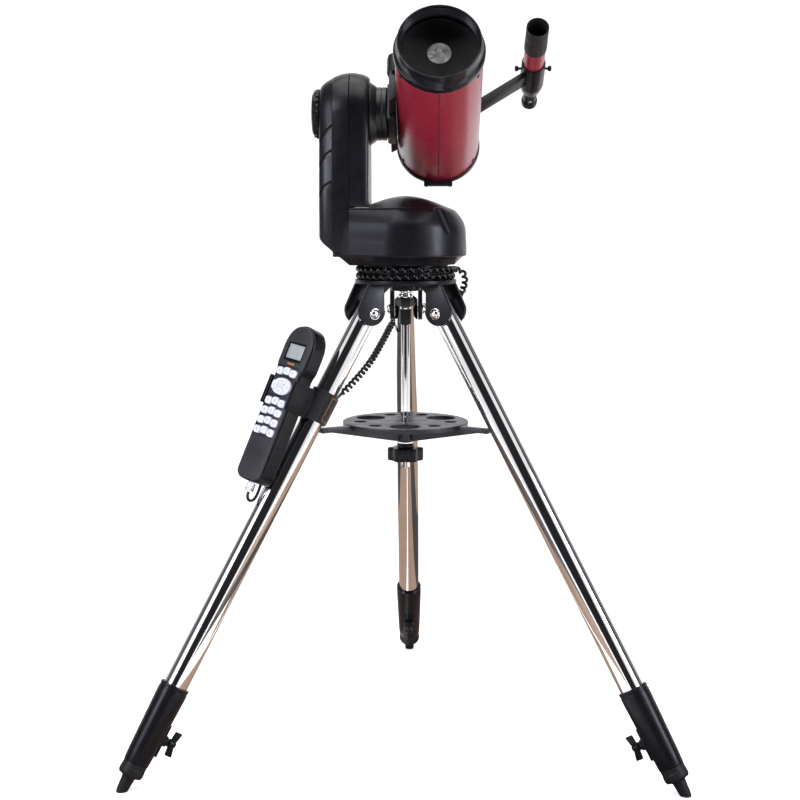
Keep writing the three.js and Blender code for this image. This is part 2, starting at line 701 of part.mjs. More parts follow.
function makeDovetailBar() {
  const back = -24 - TUBE_AXIS_X + 3.9;
  return plate(shapeOf([[0, -20.9], [7.9, -16], [7.9, 16], [0, 20.9]]), -66, 66).translate(back, 0, 0);
}

function makeSaddleKnob() {
  const knob = turned([
    [0, 21.2], [3, 21.2], [3, 32], [5.6, 32], [6.2, 58], [8.8, 62], [9, 84], [6, 91.5],
    [0, 93.4],
  ], 20);
  return alongY(knob).translate(-24 - TUBE_AXIS_X + 7, 0, 0);
}

function makeFrontCell() {
  const outer = [
    [TUBE_RADIUS + GAP, 139], [57.3, 141], [57.7, 143], [57.7, FRONT_FLANGE], [54.2, 153],
    [53, 156], [53, FRONT_LIP], [50.5, FRONT_LIP], [49, 160], [47, 157], [47, 152], [51.3, 152],
    [51.3, 139.8],
    [TUBE_RADIUS - TUBE_WALL - 0.4, 139.8], [TUBE_RADIUS - TUBE_WALL - 0.4, 148.5],
    [TUBE_RADIUS + GAP, 148.5],
  ];
  return turnedRing(outer, SCOPE_SEGMENTS);
}

function makeRearCell() {
  const casting = turned([
    [0, REAR_PLATE], [49, REAR_PLATE], [54.5, REAR_PLATE + 3.5], [57, REAR_PLATE + 7],
    [57, REAR_RING], [TUBE_RADIUS + GAP, REAR_RING], [TUBE_RADIUS + GAP, -84.3], [54, -84.3],
    [54, -86], [0, -86],
  ], SCOPE_SEGMENTS);
  const neck = rod(22, -107, REAR_PLATE + 2, 36);
  const tab = block(-19.5, 19.5, -61.5, -52, -86.5, -80);
  const bore = rod(15.95, -120, 0, 32);
  const knobHole = rod(3.3, -120, 0, 16).translate(30, 22, 0);
  const tubeRoom = rod(TUBE_RADIUS + GAP, -84.3, 0, SCOPE_SEGMENTS);
  const trim = cut(tab, tubeRoom);
  return cut(union(casting, neck, trim), bore, knobHole);
}

const primaryMirror = turnedRing([
  [17, -64], [50, -66], [50, -53], [34, -56.4], [17, -58],
], SCOPE_SEGMENTS);

function makeBaffle() {
  return turnedRing([
    [14.2, -85.6], [21, -85.6], [21, -82.5], [16, -82.5], [16, -40], [13, 38], [12.2, 38],
    [14.2, -40],
  ], 28);
}

function makeCorrector() {
  return turned([
    [0, 140.1], [25, 141.9], [51, 148.1], [51, 151.7], [46.5, 151.7], [25, 146.4], [0, 144.7],
  ], SCOPE_SEGMENTS);
}

function makeFocusKnob() {
  const shaft = rod(3, -92, -68, 16);
  const grip = plate(lobedShape(9.5, 0.9, 10, 30), -112, REAR_PLATE - GAP);
  return union(shaft, rod(3, -96, -91, 16), grip).translate(30, 22, 0);
}

add(scope, "saddle", makeSaddle(), "blackMetal");
add(scope, "dovetail_bar", makeDovetailBar(), "blackMetal");
add(scope, "saddle_knob", makeSaddleKnob(), "blackPlastic");
add(scope, "optical_tube", pipe(TUBE_RADIUS, TUBE_RADIUS - TUBE_WALL, -84, 148.2, SCOPE_SEGMENTS), "redPaint");
add(scope, "front_cell", makeFrontCell(), "blackMetal");
add(scope, "corrector_lens", makeCorrector(), "glass");
add(scope, "primary_mirror", primaryMirror, "mirror");
add(scope, "baffle_tube", makeBaffle(), "blackMetal");
add(scope, "rear_cell", makeRearCell(), "blackMetal");
add(scope, "focus_knob", makeFocusKnob(), "blackPlastic");

// The finder hangs off the upper right of the tube on a long flat stalk.
const STALK_TURN = THREE.MathUtils.degToRad(35);
const SHOE_TURN = THREE.MathUtils.degToRad(47);
function makeFinderBracket() {
  const ring = turnedRing([
    [11, -116], [12.6, -116], [16.9, -98], [16.9, -60], [16.6, -47], [15.1, -47],
    [15.1, -98], [11, -112],
  ], 32).translate(FINDER_SIDE, FINDER_UP, 0);
  const stalk = block(-110, -15.8, -5, 5, -86, -64).rotateZ(STALK_TURN);
  stalk.translate(FINDER_SIDE, FINDER_UP, 0);
  const shoe = block(TUBE_RADIUS + 2, TUBE_RADIUS + 11, -10, 10, -104, -58).rotateZ(SHOE_TURN);
  const pad = block(TUBE_RADIUS + 0.9, TUBE_RADIUS + 3, -10, 10, -79, -58).rotateZ(SHOE_TURN);
  const screws = [];
  for (const side of [0, Math.PI]) {
    const screw = alongX(turned([[0, 16.6], [1.6, 16.6], [1.6, 20], [4, 20], [4, 25.5], [0, 25.5]], 14));
    screws.push(screw.rotateZ(side).translate(FINDER_SIDE, FINDER_UP, -62));
  }
  return union(ring, stalk, shoe, pad, ...screws);
}

function makeFinderTube() {
  const body = turned([
    [0, FINDER_REAR], [11, FINDER_REAR], [11.4, FINDER_REAR + 2], [11.4, FINDER_REAR + 10],
    [9.8, FINDER_REAR + 12], [9.8, -108], [14.6, -92], [14.6, -13], [15.5, -11], [15.5, 6],
    [15.2, 8], [15.2, FINDER_FRONT], [0, FINDER_FRONT],
  ], 32);
  const hood = rod(14.5, 6, FINDER_FRONT + 5, 32);
  const eyepiece = rod(7, FINDER_REAR - 5, FINDER_REAR + 6, 24);
  return cut(body, hood, eyepiece).translate(FINDER_SIDE, FINDER_UP, 0);
}

add(scope, "finder_bracket", makeFinderBracket(), "blackPlastic");
add(scope, "finder_tube", makeFinderTube(), "redPaint");

// ---------------------------------------------------------------- hand controller

// Handset frame: +X out of the face, +Z toward the rounded head.
const handset = group(legs.left, HANDSET_OUT, 0, -HANDSET_DOWN);
handset.rotation.set(0, HANDSET_TILT, HANDSET_ROLL, "YZX");

function handsetOutline(inset) {
  const half = HANDSET_LENGTH / 2;
  const shape = new THREE.Shape();
  shape.moveTo(-17 + inset, -half + inset);
  shape.quadraticCurveTo(0, -half - 2 + inset, 17 - inset, -half + inset);
  shape.quadraticCurveTo(24.5 - inset, -half + 3, 24.5 - inset, -half + 14);
  shape.lineTo(23.5 - inset, 44);
  shape.lineTo(27 - inset, 58);
  shape.lineTo(27 - inset, 80);
  shape.bezierCurveTo(26 - inset, 101, 13, HEAD_REACH - inset, 0, HEAD_REACH - inset);
  shape.bezierCurveTo(-13, HEAD_REACH - inset, -26 + inset, 101, -27 + inset, 80);
  shape.lineTo(-27 + inset, 58);
  shape.lineTo(-23.5 + inset, 44);
  shape.lineTo(-24.5 + inset, -half + 14);
  shape.quadraticCurveTo(-24.5 + inset, -half + 3, -17 + inset, -half + inset);
  return shape;
}

// Stand a plate drawn as (y, z) up so that its thickness runs along X from x0 to x1.
function facePlate(shape, x0, x1, curveSegments = 5) {
  const flat = plate(shape, x0, x1, curveSegments);
  return flat.applyMatrix4(new THREE.Matrix4().set(0, 0, 1, 0, 1, 0, 0, 0, 0, 1, 0, 0, 0, 0, 0, 1));
}

function keyPlate(y, z, halfWidth, halfHeight, x0, x1) {
  const points = [];
  const steps = 8;
  for (let i = 0; i < steps; i++) {
    const a = (2 * Math.PI * (i + 0.5)) / steps;
    const power = (value) => Math.sign(value) * Math.sqrt(Math.abs(value));
    points.push([y + halfWidth * power(Math.cos(a)), z + halfHeight * power(Math.sin(a))]);
  }
  return facePlate(shapeOf(points), x0, x1);
}

const FACE = HANDSET_THICK / 2;
const KEY_ROWS = [5, -8.5, -22, -35.5];
const KEY_COLUMNS = [-13, 0, 13];
const KEY_FLOOR = FACE - 2.8;
const MAT_FLOOR = KEY_FLOOR + KEY_TRAVEL + GAP;

function makeHandsetBody() {
  const body = union(
    facePlate(handsetOutline(0), -FACE, FACE - 3),
    facePlate(handsetOutline(2.2), FACE - 3.5, FACE)
  );
  const lcd = facePlate(shapeOf([[-17, 60], [17, 60], [17, 86], [-17, 86]]), FACE - 1.5, FACE + 2);
  const wells = [
    facePlate(shapeOf([[-20.5, 38.2], [20.5, 38.2], [20.5, 53.2], [-20.5, 53.2]]), KEY_FLOOR, 20),
    facePlate(ovalShape(19.2, 11.8, 0, 25.3), KEY_FLOOR, 20),
    facePlate(shapeOf([[-20.5, -43.2], [20.5, -43.2], [20.5, 6.9 + 5.4], [-20.5, 6.9 + 5.4]]),
      KEY_FLOOR, 20),
  ];
  const jack = rod(4.4, -120, -HANDSET_LENGTH / 2 + 9, 20);
  return cut(body, lcd, ...wells, jack);
}

function ovalShape(halfWidth, halfHeight, cy, cz) {
  const points = [];
  const steps = 20;
  for (let i = 0; i < steps; i++) {
    const a = (2 * Math.PI * i) / steps;
    points.push([cy + halfWidth * Math.cos(a), cz + halfHeight * Math.sin(a)]);
  }
  return shapeOf(points);
}

// A moulded mat: keys on one thin web, which the well's floor holds.
function keyMat(rows, web) {
  const parts = [facePlate(shapeOf(web), MAT_FLOOR, MAT_FLOOR + 0.8)];
  for (const row of rows) {
    for (const column of KEY_COLUMNS) {
      const stand = FACE + KEY_STAND;
      parts.push(keyPlate(column, row - Math.abs(column) * 0.12, 6, 4.6, MAT_FLOOR + 0.6, stand));
    }
  }
  return union(...parts);
}

const functionWeb = [[-20.1, 38.6], [20.1, 38.6], [20.1, 52.8], [-20.1, 52.8]];
const numberWeb = [[-20.1, -42.8], [20.1, -42.8], [20.1, 11.9], [-20.1, 11.9]];
const arrowPad = facePlate(ovalShape(18.7, 11.3, 0, 25.3), MAT_FLOOR, FACE + KEY_STAND);

add(handset, "handset_body", makeHandsetBody(), "greyPlastic");
add(handset, "function_keys", keyMat([46.4], functionWeb), "silicone");
add(handset, "arrow_pad", arrowPad, "silicone");
add(handset, "number_keys", keyMat(KEY_ROWS, numberWeb), "silicone");

// A spring clip grips the handset, and a webbing strap ties the clip round the leg.
function makeHolder() {
  const back = -FACE - GAP;
  const side = 24.5 + GAP;
  const outline = [
    [back - 3, -side - 2.6], [FACE + 2, -side - 2.6], [FACE + 2, -side + 3], [FACE + 0.4, -side + 3],
    [FACE + 0.4, -side], [back, -side], [back, side], [FACE + 0.4, side], [FACE + 0.4, side - 3],
    [FACE + 2, side - 3], [FACE + 2, side + 2.6], [back - 3, side + 2.6],
  ];
  const clip = plate(shapeOf(outline), CLIP_LOW, CLIP_LOW + 39);
  const pad = block(back - 18, back - 2.5, -14, 20, CLIP_LOW, CLIP_LOW + 38);
  const legRoom = rod(LEG_TUBE_RADIUS + 2.4 + GAP, -300, 300, 32).translate(-HANDSET_OUT, 0, 0);
  legRoom.rotateY(-HANDSET_TILT).rotateZ(-HANDSET_ROLL);
  return cut(union(clip, pad), legRoom);
}

add(handset, "handset_holder", makeHolder(), "blackPlastic");
const strap = pipe(LEG_TUBE_RADIUS + 2.2, LEG_TUBE_RADIUS + GAP, -STRAP_END, -STRAP_TOP, LEG_SEGMENTS);
add(legs.left, "holder_strap", strap, "fabric");

// The plug sits in the jack at the foot of the handset.
function makePlug() {
  const bottom = -HANDSET_LENGTH / 2;
  const latch = block(-3.6, 3.6, -5, 5, bottom - 13, bottom - 2);
  const nose = rod(3.9, bottom - 3, bottom + 8, 16);
  return union(latch, nose);
}

add(handset, "handset_plug", makePlug(), "glass");

// ---------------------------------------------------------------- curly cord

// The stored turns lie round the base ring, one on the other.
function makeWrap() {
  const low = HEAD_TOP + GAP + COIL_RADIUS;
  const high = low + 2 * COIL_RADIUS + 0.4;
  const points = [];
  const steps = 4;
  for (let i = 0; i <= steps; i++) {
    const a = -Math.PI + (Math.PI * i) / steps;
    points.push([WRAP_RADIUS + COIL_RADIUS * Math.cos(a), low + COIL_RADIUS * Math.sin(a)]);
  }
  for (let i = 0; i <= steps; i++) {
    const a = (Math.PI * i) / steps;
    points.push([WRAP_RADIUS + COIL_RADIUS * Math.cos(a), high + COIL_RADIUS * Math.sin(a)]);
  }
  return turnedRing(points, 56);
}

// The stretch from the wrap, over the head's edge, behind the back leg and on to the strap.
const RUN = [
  [70.5, 8, 653], [77, 11, 650], [80.5, 16, 640], [78, 23, 626], [68, 36, 612], [52, 60, 604],
  [30, 98, 598], [6, 114, 590], [-16, 98, 578], [-32, 62, 553], [-48, 24, 527], [-68, -3, 504],
  [-88.6, -21.8, 484.6],
];
// The straight end, in the left leg's frame: past the strap, round the back of the leg, down
// behind the handset and up into its plug.
const TAIL = [
  [-32.6, -25.2, -111.9], [-25.5, -21.5, -122], [-18, -17, -133], [-14.9, -15.2, -146],
  [-14.2, -15.8, -162], [-12, -17.8, -176], [-4, -21, -192], [8, -20.5, -207], [15, -16.5, -223],
  [18, -13, -240], [18.2, -12.8, -256], [17.2, -11, -271], [17.4, -8, -283], [21, -4.5, -290.5],
  [27.5, -1.5, -292.5], [32.6, 0, -288.5], [34.2, 0, -282.2],
];

function pathOf(points) {
  return new THREE.CatmullRomCurve3(points.map(([x, y, z]) => new THREE.Vector3(x, y, z)));
}

add(mount, "cord_wrap", makeWrap(), "rubber");
add(mount, "curly_cord", tubeAlong(pathOf(RUN), RUN_RADIUS, 8, 30), "rubber");
add(legs.left, "cord_tail", tubeAlong(pathOf(TAIL), CORD_RADIUS, 8, 28), "rubber");

// ---------------------------------------------------------------- origin

// Stand the model on the floor, centred on its own footprint.
mount.updateMatrixWorld(true);
const box = new THREE.Box3().setFromObject(mount, true);
const middle = box.getCenter(new THREE.Vector3());
mount.position.set(-middle.x, -middle.y, 0);

export default mount;
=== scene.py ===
"""A single-arm computerised telescope mount on a chromed tripod, in a plain pale studio.

Sizes are in millimetres about the azimuth axis, as the model is laid out, and the frames
below carry them to the row frame in metres. Each piece but the cord rides on the body of
the CAD node that it stands for.
"""

import json
import math

import bmesh
import bpy
from mathutils import Matrix, Vector


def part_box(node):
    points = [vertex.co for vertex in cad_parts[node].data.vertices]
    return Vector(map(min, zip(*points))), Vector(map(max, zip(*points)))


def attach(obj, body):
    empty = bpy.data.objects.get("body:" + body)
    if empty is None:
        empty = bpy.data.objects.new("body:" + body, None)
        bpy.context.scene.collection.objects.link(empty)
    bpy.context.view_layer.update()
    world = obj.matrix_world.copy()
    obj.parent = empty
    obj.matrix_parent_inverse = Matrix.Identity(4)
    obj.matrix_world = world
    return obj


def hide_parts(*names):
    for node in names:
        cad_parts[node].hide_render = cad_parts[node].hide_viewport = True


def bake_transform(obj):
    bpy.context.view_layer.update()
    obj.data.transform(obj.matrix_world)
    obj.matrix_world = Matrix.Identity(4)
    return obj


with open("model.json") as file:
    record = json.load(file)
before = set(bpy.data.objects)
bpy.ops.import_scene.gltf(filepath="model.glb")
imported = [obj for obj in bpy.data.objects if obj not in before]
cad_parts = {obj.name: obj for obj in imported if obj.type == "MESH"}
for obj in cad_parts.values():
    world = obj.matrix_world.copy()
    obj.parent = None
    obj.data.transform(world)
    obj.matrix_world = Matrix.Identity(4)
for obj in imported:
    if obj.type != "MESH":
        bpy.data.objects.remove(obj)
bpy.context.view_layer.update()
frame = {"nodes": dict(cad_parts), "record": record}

# ---------------------------------------------------------------- frames

MM = 0.001
ALTITUDE = math.radians(28.1)  # pointing angle of the optical tube
LEG_SPLAY = math.radians(30.7)
LEG_AZIMUTHS = {"back": 90, "left": 210, "right": 330}
PIVOT_RADIUS = 59.3
PIVOT_Z = 597
ALT_Z = 860
TUBE_AXIS_X = 43.8
FINDER_SIDE = 132
FINDER_UP = 111
HANDSET_TILT = math.radians(6.5)
HANDSET_ROLL = math.radians(17)  # face turned toward the front

ring_low, ring_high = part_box("cord_wrap")
AXIS_Y = (ring_low.y + ring_high.y) / 2  # the azimuth axis in the row frame


def shift(x, y, z):
    return Matrix.Translation((x, y, z))


def turn(degrees, axis):
    return Matrix.Rotation(math.radians(degrees), 4, axis)


BASE = shift(0, AXIS_Y, 0) @ Matrix.Scale(MM, 4)
LEG = {
    side: BASE
    @ turn(azimuth, "Z")
    @ shift(PIVOT_RADIUS, 0, PIVOT_Z)
    @ Matrix.Rotation(-LEG_SPLAY, 4, "Y")
    for side, azimuth in LEG_AZIMUTHS.items()
}
ALT_AXIS = BASE @ shift(0, 0, ALT_Z) @ turn(-90, "Y")  # +Z runs toward -X
SCOPE = BASE @ shift(TUBE_AXIS_X, 0, ALT_Z) @ Matrix.Rotation(math.pi / 2 - ALTITUDE, 4, "X")
FINDER = SCOPE @ shift(FINDER_SIDE, FINDER_UP, 0)
HANDSET_TURN = Matrix.Rotation(HANDSET_TILT, 4, "Y") @ Matrix.Rotation(HANDSET_ROLL, 4, "Z")
HANDSET_OUT = 47.3  # from the leg's middle
HANDSET = LEG["left"] @ shift(HANDSET_OUT, 0, -166.5) @ HANDSET_TURN

CAMERA_PLACE = (0.0332, AXIS_Y - 1.9905, 0.7387)
CAMERA_DOWN = math.radians(7.514)
CAMERA_LEFT = math.radians(1.172)
FOCAL_LENGTH = 66.2
SENSOR_WIDTH = 36

# ---------------------------------------------------------------- camera


def make_camera():
    data = bpy.data.cameras.new("camera")
    data.lens = FOCAL_LENGTH
    data.sensor_width = SENSOR_WIDTH
    camera = bpy.data.objects.new("camera", data)
    camera.location = CAMERA_PLACE
    camera.rotation_euler = (math.pi / 2 - CAMERA_DOWN, 0, CAMERA_LEFT)
    bpy.context.scene.collection.objects.link(camera)
    bpy.context.scene.camera = camera


make_camera()

# ---------------------------------------------------------------- mesh tools

TINY = 1e-6
NEARLY_STRAIGHT = math.radians(165)


def link(name, mesh):
    piece = bpy.data.objects.new(name, mesh)
    bpy.context.scene.collection.objects.link(piece)
    return piece


def build(name, shapes, place, sharp=32):
    """One piece from (vertices, faces) shapes in millimetres, put in place."""
    solid = bmesh.new()
    for vertices, faces in shapes:
        made = [solid.verts.new(place @ Vector(v)) for v in vertices]
        for face in faces:
            solid.faces.new([made[i] for i in face])
    bmesh.ops.recalc_face_normals(solid, faces=solid.faces)
    mesh = bpy.data.meshes.new(name)
    solid.to_mesh(mesh)
    solid.free()
    return smooth(link(name, mesh), sharp)


def tool(shape, place):
    """A cutter or an addition for combine, which uses it up."""
    return build("tool", [shape], place)


def smooth(piece, sharp=32):
    piece.data.shade_smooth()
    piece.data.set_sharp_from_angle(angle=math.radians(sharp))
    return piece


def moved(shape, matrix):
    vertices, faces = shape
    return [tuple(matrix @ Vector(v)) for v in vertices], faces


def polar(radius, angle):
    return radius * math.cos(angle), radius * math.sin(angle)


def arc(radius, start, end, steps, x=0.0, y=0.0):
    """Points on part of a circle, with both of its ends."""
    spots = [polar(radius, start + (end - start) * i / steps) for i in range(steps + 1)]
    return [(x + px, y + py) for px, py in spots]


def mirrored(half):
    """A closed outline from the half of it on one side of the first axis."""
    return half + [(x, -y) for x, y in reversed(half)]


def rounded(profile, radius, closed=False, steps=4):
    """The profile with each corner turned into a small curve."""
    points = [Vector(p) for p in profile]
    count = len(points)
    result = []
    for i, corner in enumerate(points):
        before, after = points[i - 1] - corner, points[(i + 1) % count] - corner
        loose = not closed and i in (0, count - 1)
        if loose or min(before.length, after.length) < TINY or before.angle(after) > NEARLY_STRAIGHT:
            result.append(tuple(corner))
            continue
        start = corner + before.normalized() * min(radius, before.length * 0.45)
        end = corner + after.normalized() * min(radius, after.length * 0.45)
        for s in range(steps + 1):
            t = s / steps
            result.append(tuple(start * (1 - t) ** 2 + corner * 2 * t * (1 - t) + end * t * t))
    return result


def lathe(profile, segments=96, closed=False, radius_at=None):
    """A turned shape about Z. radius_at(angle, r, z) may wave the surface."""
    vertices, faces, rows = [], [], []
    for r, z in profile:
        row = []
        for i in range(1 if r < TINY else segments):
            a = 2 * math.pi * i / segments
            reach = radius_at(a, r, z) if radius_at and r > TINY else r
            row.append(len(vertices))
            vertices.append((*polar(reach, a), z))
        rows.append(row)
    for low, high in zip(rows, rows[1:] + rows[:1] if closed else rows[1:]):
        for i in range(segments):
            j = (i + 1) % segments
            corners = [low[i % len(low)], low[j % len(low)], high[j % len(high)], high[i % len(high)]]
            face = list(dict.fromkeys(corners))
            if len(face) > 2:
                faces.append(face)
    return vertices, faces


def turned(profile, radius=0.6, segments=96):
    return lathe(rounded(profile, radius), segments)


def ring(profile, radius=0.6, segments=96):
    return lathe(rounded(profile, radius, closed=True), segments, closed=True)


def rod(radius, z0, z1, edge=0.5, segments=48):
    return turned([(0, z0), (radius, z0), (radius, z1), (0, z1)], edge, segments)


def pipe(outer, inner, z0, z1, edge=0.3, segments=96):
    return ring([(inner, z0), (outer, z0), (outer, z1), (inner, z1)], edge, segments)


def skin(vertices, count):
    """A closed shape over rows of count vertices, with one face over each end."""
    last = len(vertices) - count
    faces = []
    for row in range(0, last, count):
        for i in range(count):
            j = (i + 1) % count
            faces.append([row + i, row + j, row + count + j, row + count + i])
    return vertices, [*faces, list(range(count))[::-1], list(range(last, last + count))]


def loft(sections):
    """A closed shape through matching outlines: sections are (points, z)."""
    return skin([(x, y, z) for points, z in sections for x, y in points], len(sections[0][0]))


def plate(outlines, z0, z1, edge=0.6, steps=2):
    """A plate with rounded rims: the first outline is its edge, the others are holes."""
    curve = bpy.data.curves.new("plate", "CURVE")
    curve.dimensions = "2D"
    curve.fill_mode = "BOTH"
    curve.extrude = max((z1 - z0) / 2 - edge, 0.001)
    curve.bevel_depth = edge
    curve.bevel_resolution = steps
    curve.offset = -edge
    for outline in outlines:
        line = curve.splines.new("POLY")
        line.points.add(len(outline) - 1)
        for point, (x, y) in zip(line.points, outline):
            point.co = (x, y, 0, 1)
        line.use_cyclic_u = True
    holder = link("plate", curve)
    bpy.context.view_layer.update()
    graph = bpy.context.evaluated_depsgraph_get()
    mesh = bpy.data.meshes.new_from_object(holder.evaluated_get(graph))
    solid = bmesh.new()
    solid.from_mesh(mesh)
    bmesh.ops.remove_doubles(solid, verts=solid.verts, dist=1e-4)
    middle = (z0 + z1) / 2
    solid.verts.index_update()
    vertices = [(v.co.x, v.co.y, v.co.z + middle) for v in solid.verts]
    faces = [[v.index for v in face.verts] for face in solid.faces]
    solid.free()
    bpy.data.objects.remove(holder)
    bpy.data.curves.remove(curve)
    bpy.data.meshes.remove(mesh)
    return vertices, faces


def circle(radius, count=64, x=0.0, y=0.0):
    return arc(radius, 0, 2 * math.pi, count, x, y)[:-1]


def ellipse(half_x, half_y, count=48, x=0.0, y=0.0):
    return [(x + px * half_x, y + py * half_y) for px, py in circle(1, count)]


def lobed(radius, depth, lobes, count=144):
    turns = [2 * math.pi * i / count for i in range(count)]
    return [polar(radius - depth * 0.5 * (1 - math.cos(lobes * a)), a) for a in turns]


def block(x0, x1, y0, y1, z0, z1, edge=0.8, steps=3):
    """A box with rounded edges."""
    solid = bmesh.new()
    bmesh.ops.create_cube(solid, size=1)
    low, size = (x0, y0, z0), (x1 - x0, y1 - y0, z1 - z0)
    for v in solid.verts:
        v.co = [start + length * (share + 0.5) for start, length, share in zip(low, size, v.co)]
    if edge:
        bmesh.ops.bevel(
            solid, geom=list(solid.edges), offset=edge, segments=steps, affect="EDGES", profile=0.5
        )
    solid.verts.index_update()
    shape = [tuple(v.co) for v in solid.verts], [[v.index for v in f.verts] for f in solid.faces]
    solid.free()
    return shape


def corner_rounded(points, radius, steps=5):
    return rounded(points, radius, closed=True, steps=steps)


def bezier(p0, p1, p2, p3, steps=10):
    points = []
    for s in range(1, steps + 1):
        t = s / steps
        shares = ((1 - t) ** 3, 3 * t * (1 - t) ** 2, 3 * t * t * (1 - t), t ** 3)
        points.append(tuple(sum(a * b for a, b in zip(shares, axis)) for axis in zip(p0, p1, p2, p3)))
    return points


def catmull(rows, per_span):
    """Rows of numbers on a smooth curve through the given ones."""
    first = [2 * a - b for a, b in zip(rows[0], rows[1])]
    last = [2 * a - b for a, b in zip(rows[-1], rows[-2])]
    ps = [first, *rows, last]
    result = []
    for a, b, c, d in zip(ps, ps[1:], ps[2:], ps[3:]):
        for s in range(per_span):
            t = s / per_span
            result.append(tuple(
                0.5 * (2 * q + (r - p) * t + (2 * p - 5 * q + 4 * r - w) * t ** 2
                       + (3 * q - p - 3 * r + w) * t ** 3)
                for p, q, r, w in zip(a, b, c, d)
            ))
    result.append(tuple(rows[-1]))
    return result


def flowing(points, per_span):
    """Like catmull, for points that are unevenly spaced: it never overshoots into a loop."""
    ps = [Vector(p) for p in points]
    ps = [ps[0] * 2 - ps[1], *ps, ps[-1] * 2 - ps[-2]]
    result = []
    for a, b, c, d in zip(ps, ps[1:], ps[2:], ps[3:]):
        t1 = math.sqrt((b - a).length)
        t2 = t1 + math.sqrt((c - b).length)
        t3 = t2 + math.sqrt((d - c).length)
        for s in range(per_span):
            t = t1 + (t2 - t1) * s / per_span
            first = a + (b - a) * (t / t1)
            middle = b + (c - b) * ((t - t1) / (t2 - t1))
            last = c + (d - c) * ((t - t2) / (t3 - t2))
            before = first + (middle - first) * (t / t2)
            after = middle + (last - middle) * ((t - t1) / (t3 - t1))
            result.append(before + (after - before) * ((t - t1) / (t2 - t1)))
    result.append(ps[-2])
    return result


def frames_along(path):
    """Side and up at each point, turned as little as possible from one to the next."""
    ends = zip(path[:1] + path[:-1], path[1:] + path[-1:])
    tangents = [(b - a).normalized() for a, b in ends]
    side = tangents[0].orthogonal().normalized()
    result = []
    for tangent in tangents:
        side = (side - tangent * side.dot(tangent)).normalized()
        result.append((side, tangent.cross(side)))
    return result


def tube(path, radius, sides=12):
    """A round bar along points, with flat ends."""
    vertices = []
    for point, (side, up) in zip(path, frames_along(path)):
        vertices += [tuple(point + (side * c + up * s) * radius) for c, s in circle(1, sides)]
    return skin(vertices, sides)


def combine(piece, operation, *tools):
    """Cuts or joins whole tool pieces, which are then gone."""
    for cutter in tools:
        step = piece.modifiers.new("step", "BOOLEAN")
        step.object = cutter
        step.operation = operation
        step.solver = "EXACT"
    bpy.context.view_layer.update()
    graph = bpy.context.evaluated_depsgraph_get()
    mesh = bpy.data.meshes.new_from_object(piece.evaluated_get(graph))
    piece.modifiers.clear()
    piece.data = mesh
    for cutter in tools:
        bpy.data.objects.remove(cutter)
    return smooth(piece)


# ---------------------------------------------------------------- materials


class Graph:
    """The shader nodes of a material or of the world."""

    def __init__(self, tree):
        self.tree = tree

    def node(self, kind, **settings):
        made = self.tree.nodes.new(kind)
        for key, value in settings.items():
            if key in made.inputs:
                made.inputs[key].default_value = value
            else:
                setattr(made, key, value)
        return made

    def join(self, source, target):
        self.tree.links.new(source, target)

    def spread(self, source, low, high, start=0.3, end=0.7):
        made = self.node("ShaderNodeMapRange")
        for key, value in (("From Min", start), ("From Max", end), ("To Min", low), ("To Max", high)):
            made.inputs[key].default_value = value
        self.join(source, made.inputs["Value"])
        return made.outputs["Result"]

    def colour(self, source, *stops):
        """A ramp from the source: stops are (position, (r, g, b))."""
        ramp = self.node("ShaderNodeValToRGB").color_ramp
        while len(ramp.elements) < len(stops):
            ramp.elements.new(0.5)
        for element, (position, rgb) in zip(ramp.elements, stops):
            element.position = position
            element.color = (*rgb, 1)
        made = self.tree.nodes[-1]
        self.join(source, made.inputs["Fac"])
        return made.outputs["Color"]

    def mixed(self, source, a, b):
        made = self.node("ShaderNodeMix", data_type="RGBA")
        self.join(source, made.inputs["Factor"])
        self.join(a, made.inputs[6])
        self.join(b, made.inputs[7])
        return made.outputs[2]


class Finish(Graph):
    """A principled material whose nodes vary it over the surface, in the object's own space."""

    def __init__(self, name, **values):
        self.material = bpy.data.materials.new(name)
        self.material.use_nodes = True
        super().__init__(self.material.node_tree)
        self.shader = self.tree.nodes["Principled BSDF"]
        self.place = self.node("ShaderNodeTexCoord").outputs["Object"]
        for socket, value in values.items():
            self.shader.inputs[socket.replace("_", " ")].default_value = value

    def noise(self, scale, detail=4.0, stretch=(1, 1, 1), roughness=0.55):
        """Noise whose features are about 1/scale metres across, stretched along the axes."""
        mapping = self.node("ShaderNodeMapping", Scale=stretch)
        self.join(self.place, mapping.inputs["Vector"])
        made = self.node("ShaderNodeTexNoise", Scale=scale, Detail=detail, Roughness=roughness)
        self.join(mapping.outputs["Vector"], made.inputs["Vector"])
        return made.outputs["Fac"]

    def pattern(self, kind, **settings):
        """A regular texture laid over the piece."""
        made = self.node(kind, **settings)
        self.join(self.place, made.inputs["Vector"])
        return made.outputs["Fac"]

    def paint(self, source):
        self.join(source, self.shader.inputs["Base Color"])

    def rough(self, source):
        self.join(source, self.shader.inputs["Roughness"])

    def bump(self, source, strength, depth_mm, before=None):
        made = self.node("ShaderNodeBump", Strength=strength, Distance=depth_mm * MM)
        self.join(source, made.inputs["Height"])
        if before:
            self.join(before, made.inputs["Normal"])
        self.join(made.outputs["Normal"], self.shader.inputs["Normal"])
        return made.outputs["Normal"]


def surface(name, dark, light, gloss, cloud, wear, grain=None, **values):
    """A material clouded between two colours. gloss is its range of roughness, cloud and wear
    are the noises of its colour and gloss, and grain is (scale, strength, depth in mm)."""
    finish = Finish(name, **values)
    finish.paint(finish.colour(finish.noise(*cloud), (0.3, dark), (0.7, light)))
    finish.rough(finish.spread(finish.noise(*wear), *gloss))
    if grain:
        scale, strength, depth = grain
        finish.bump(finish.noise(scale, 2), strength, depth)
    return finish.material


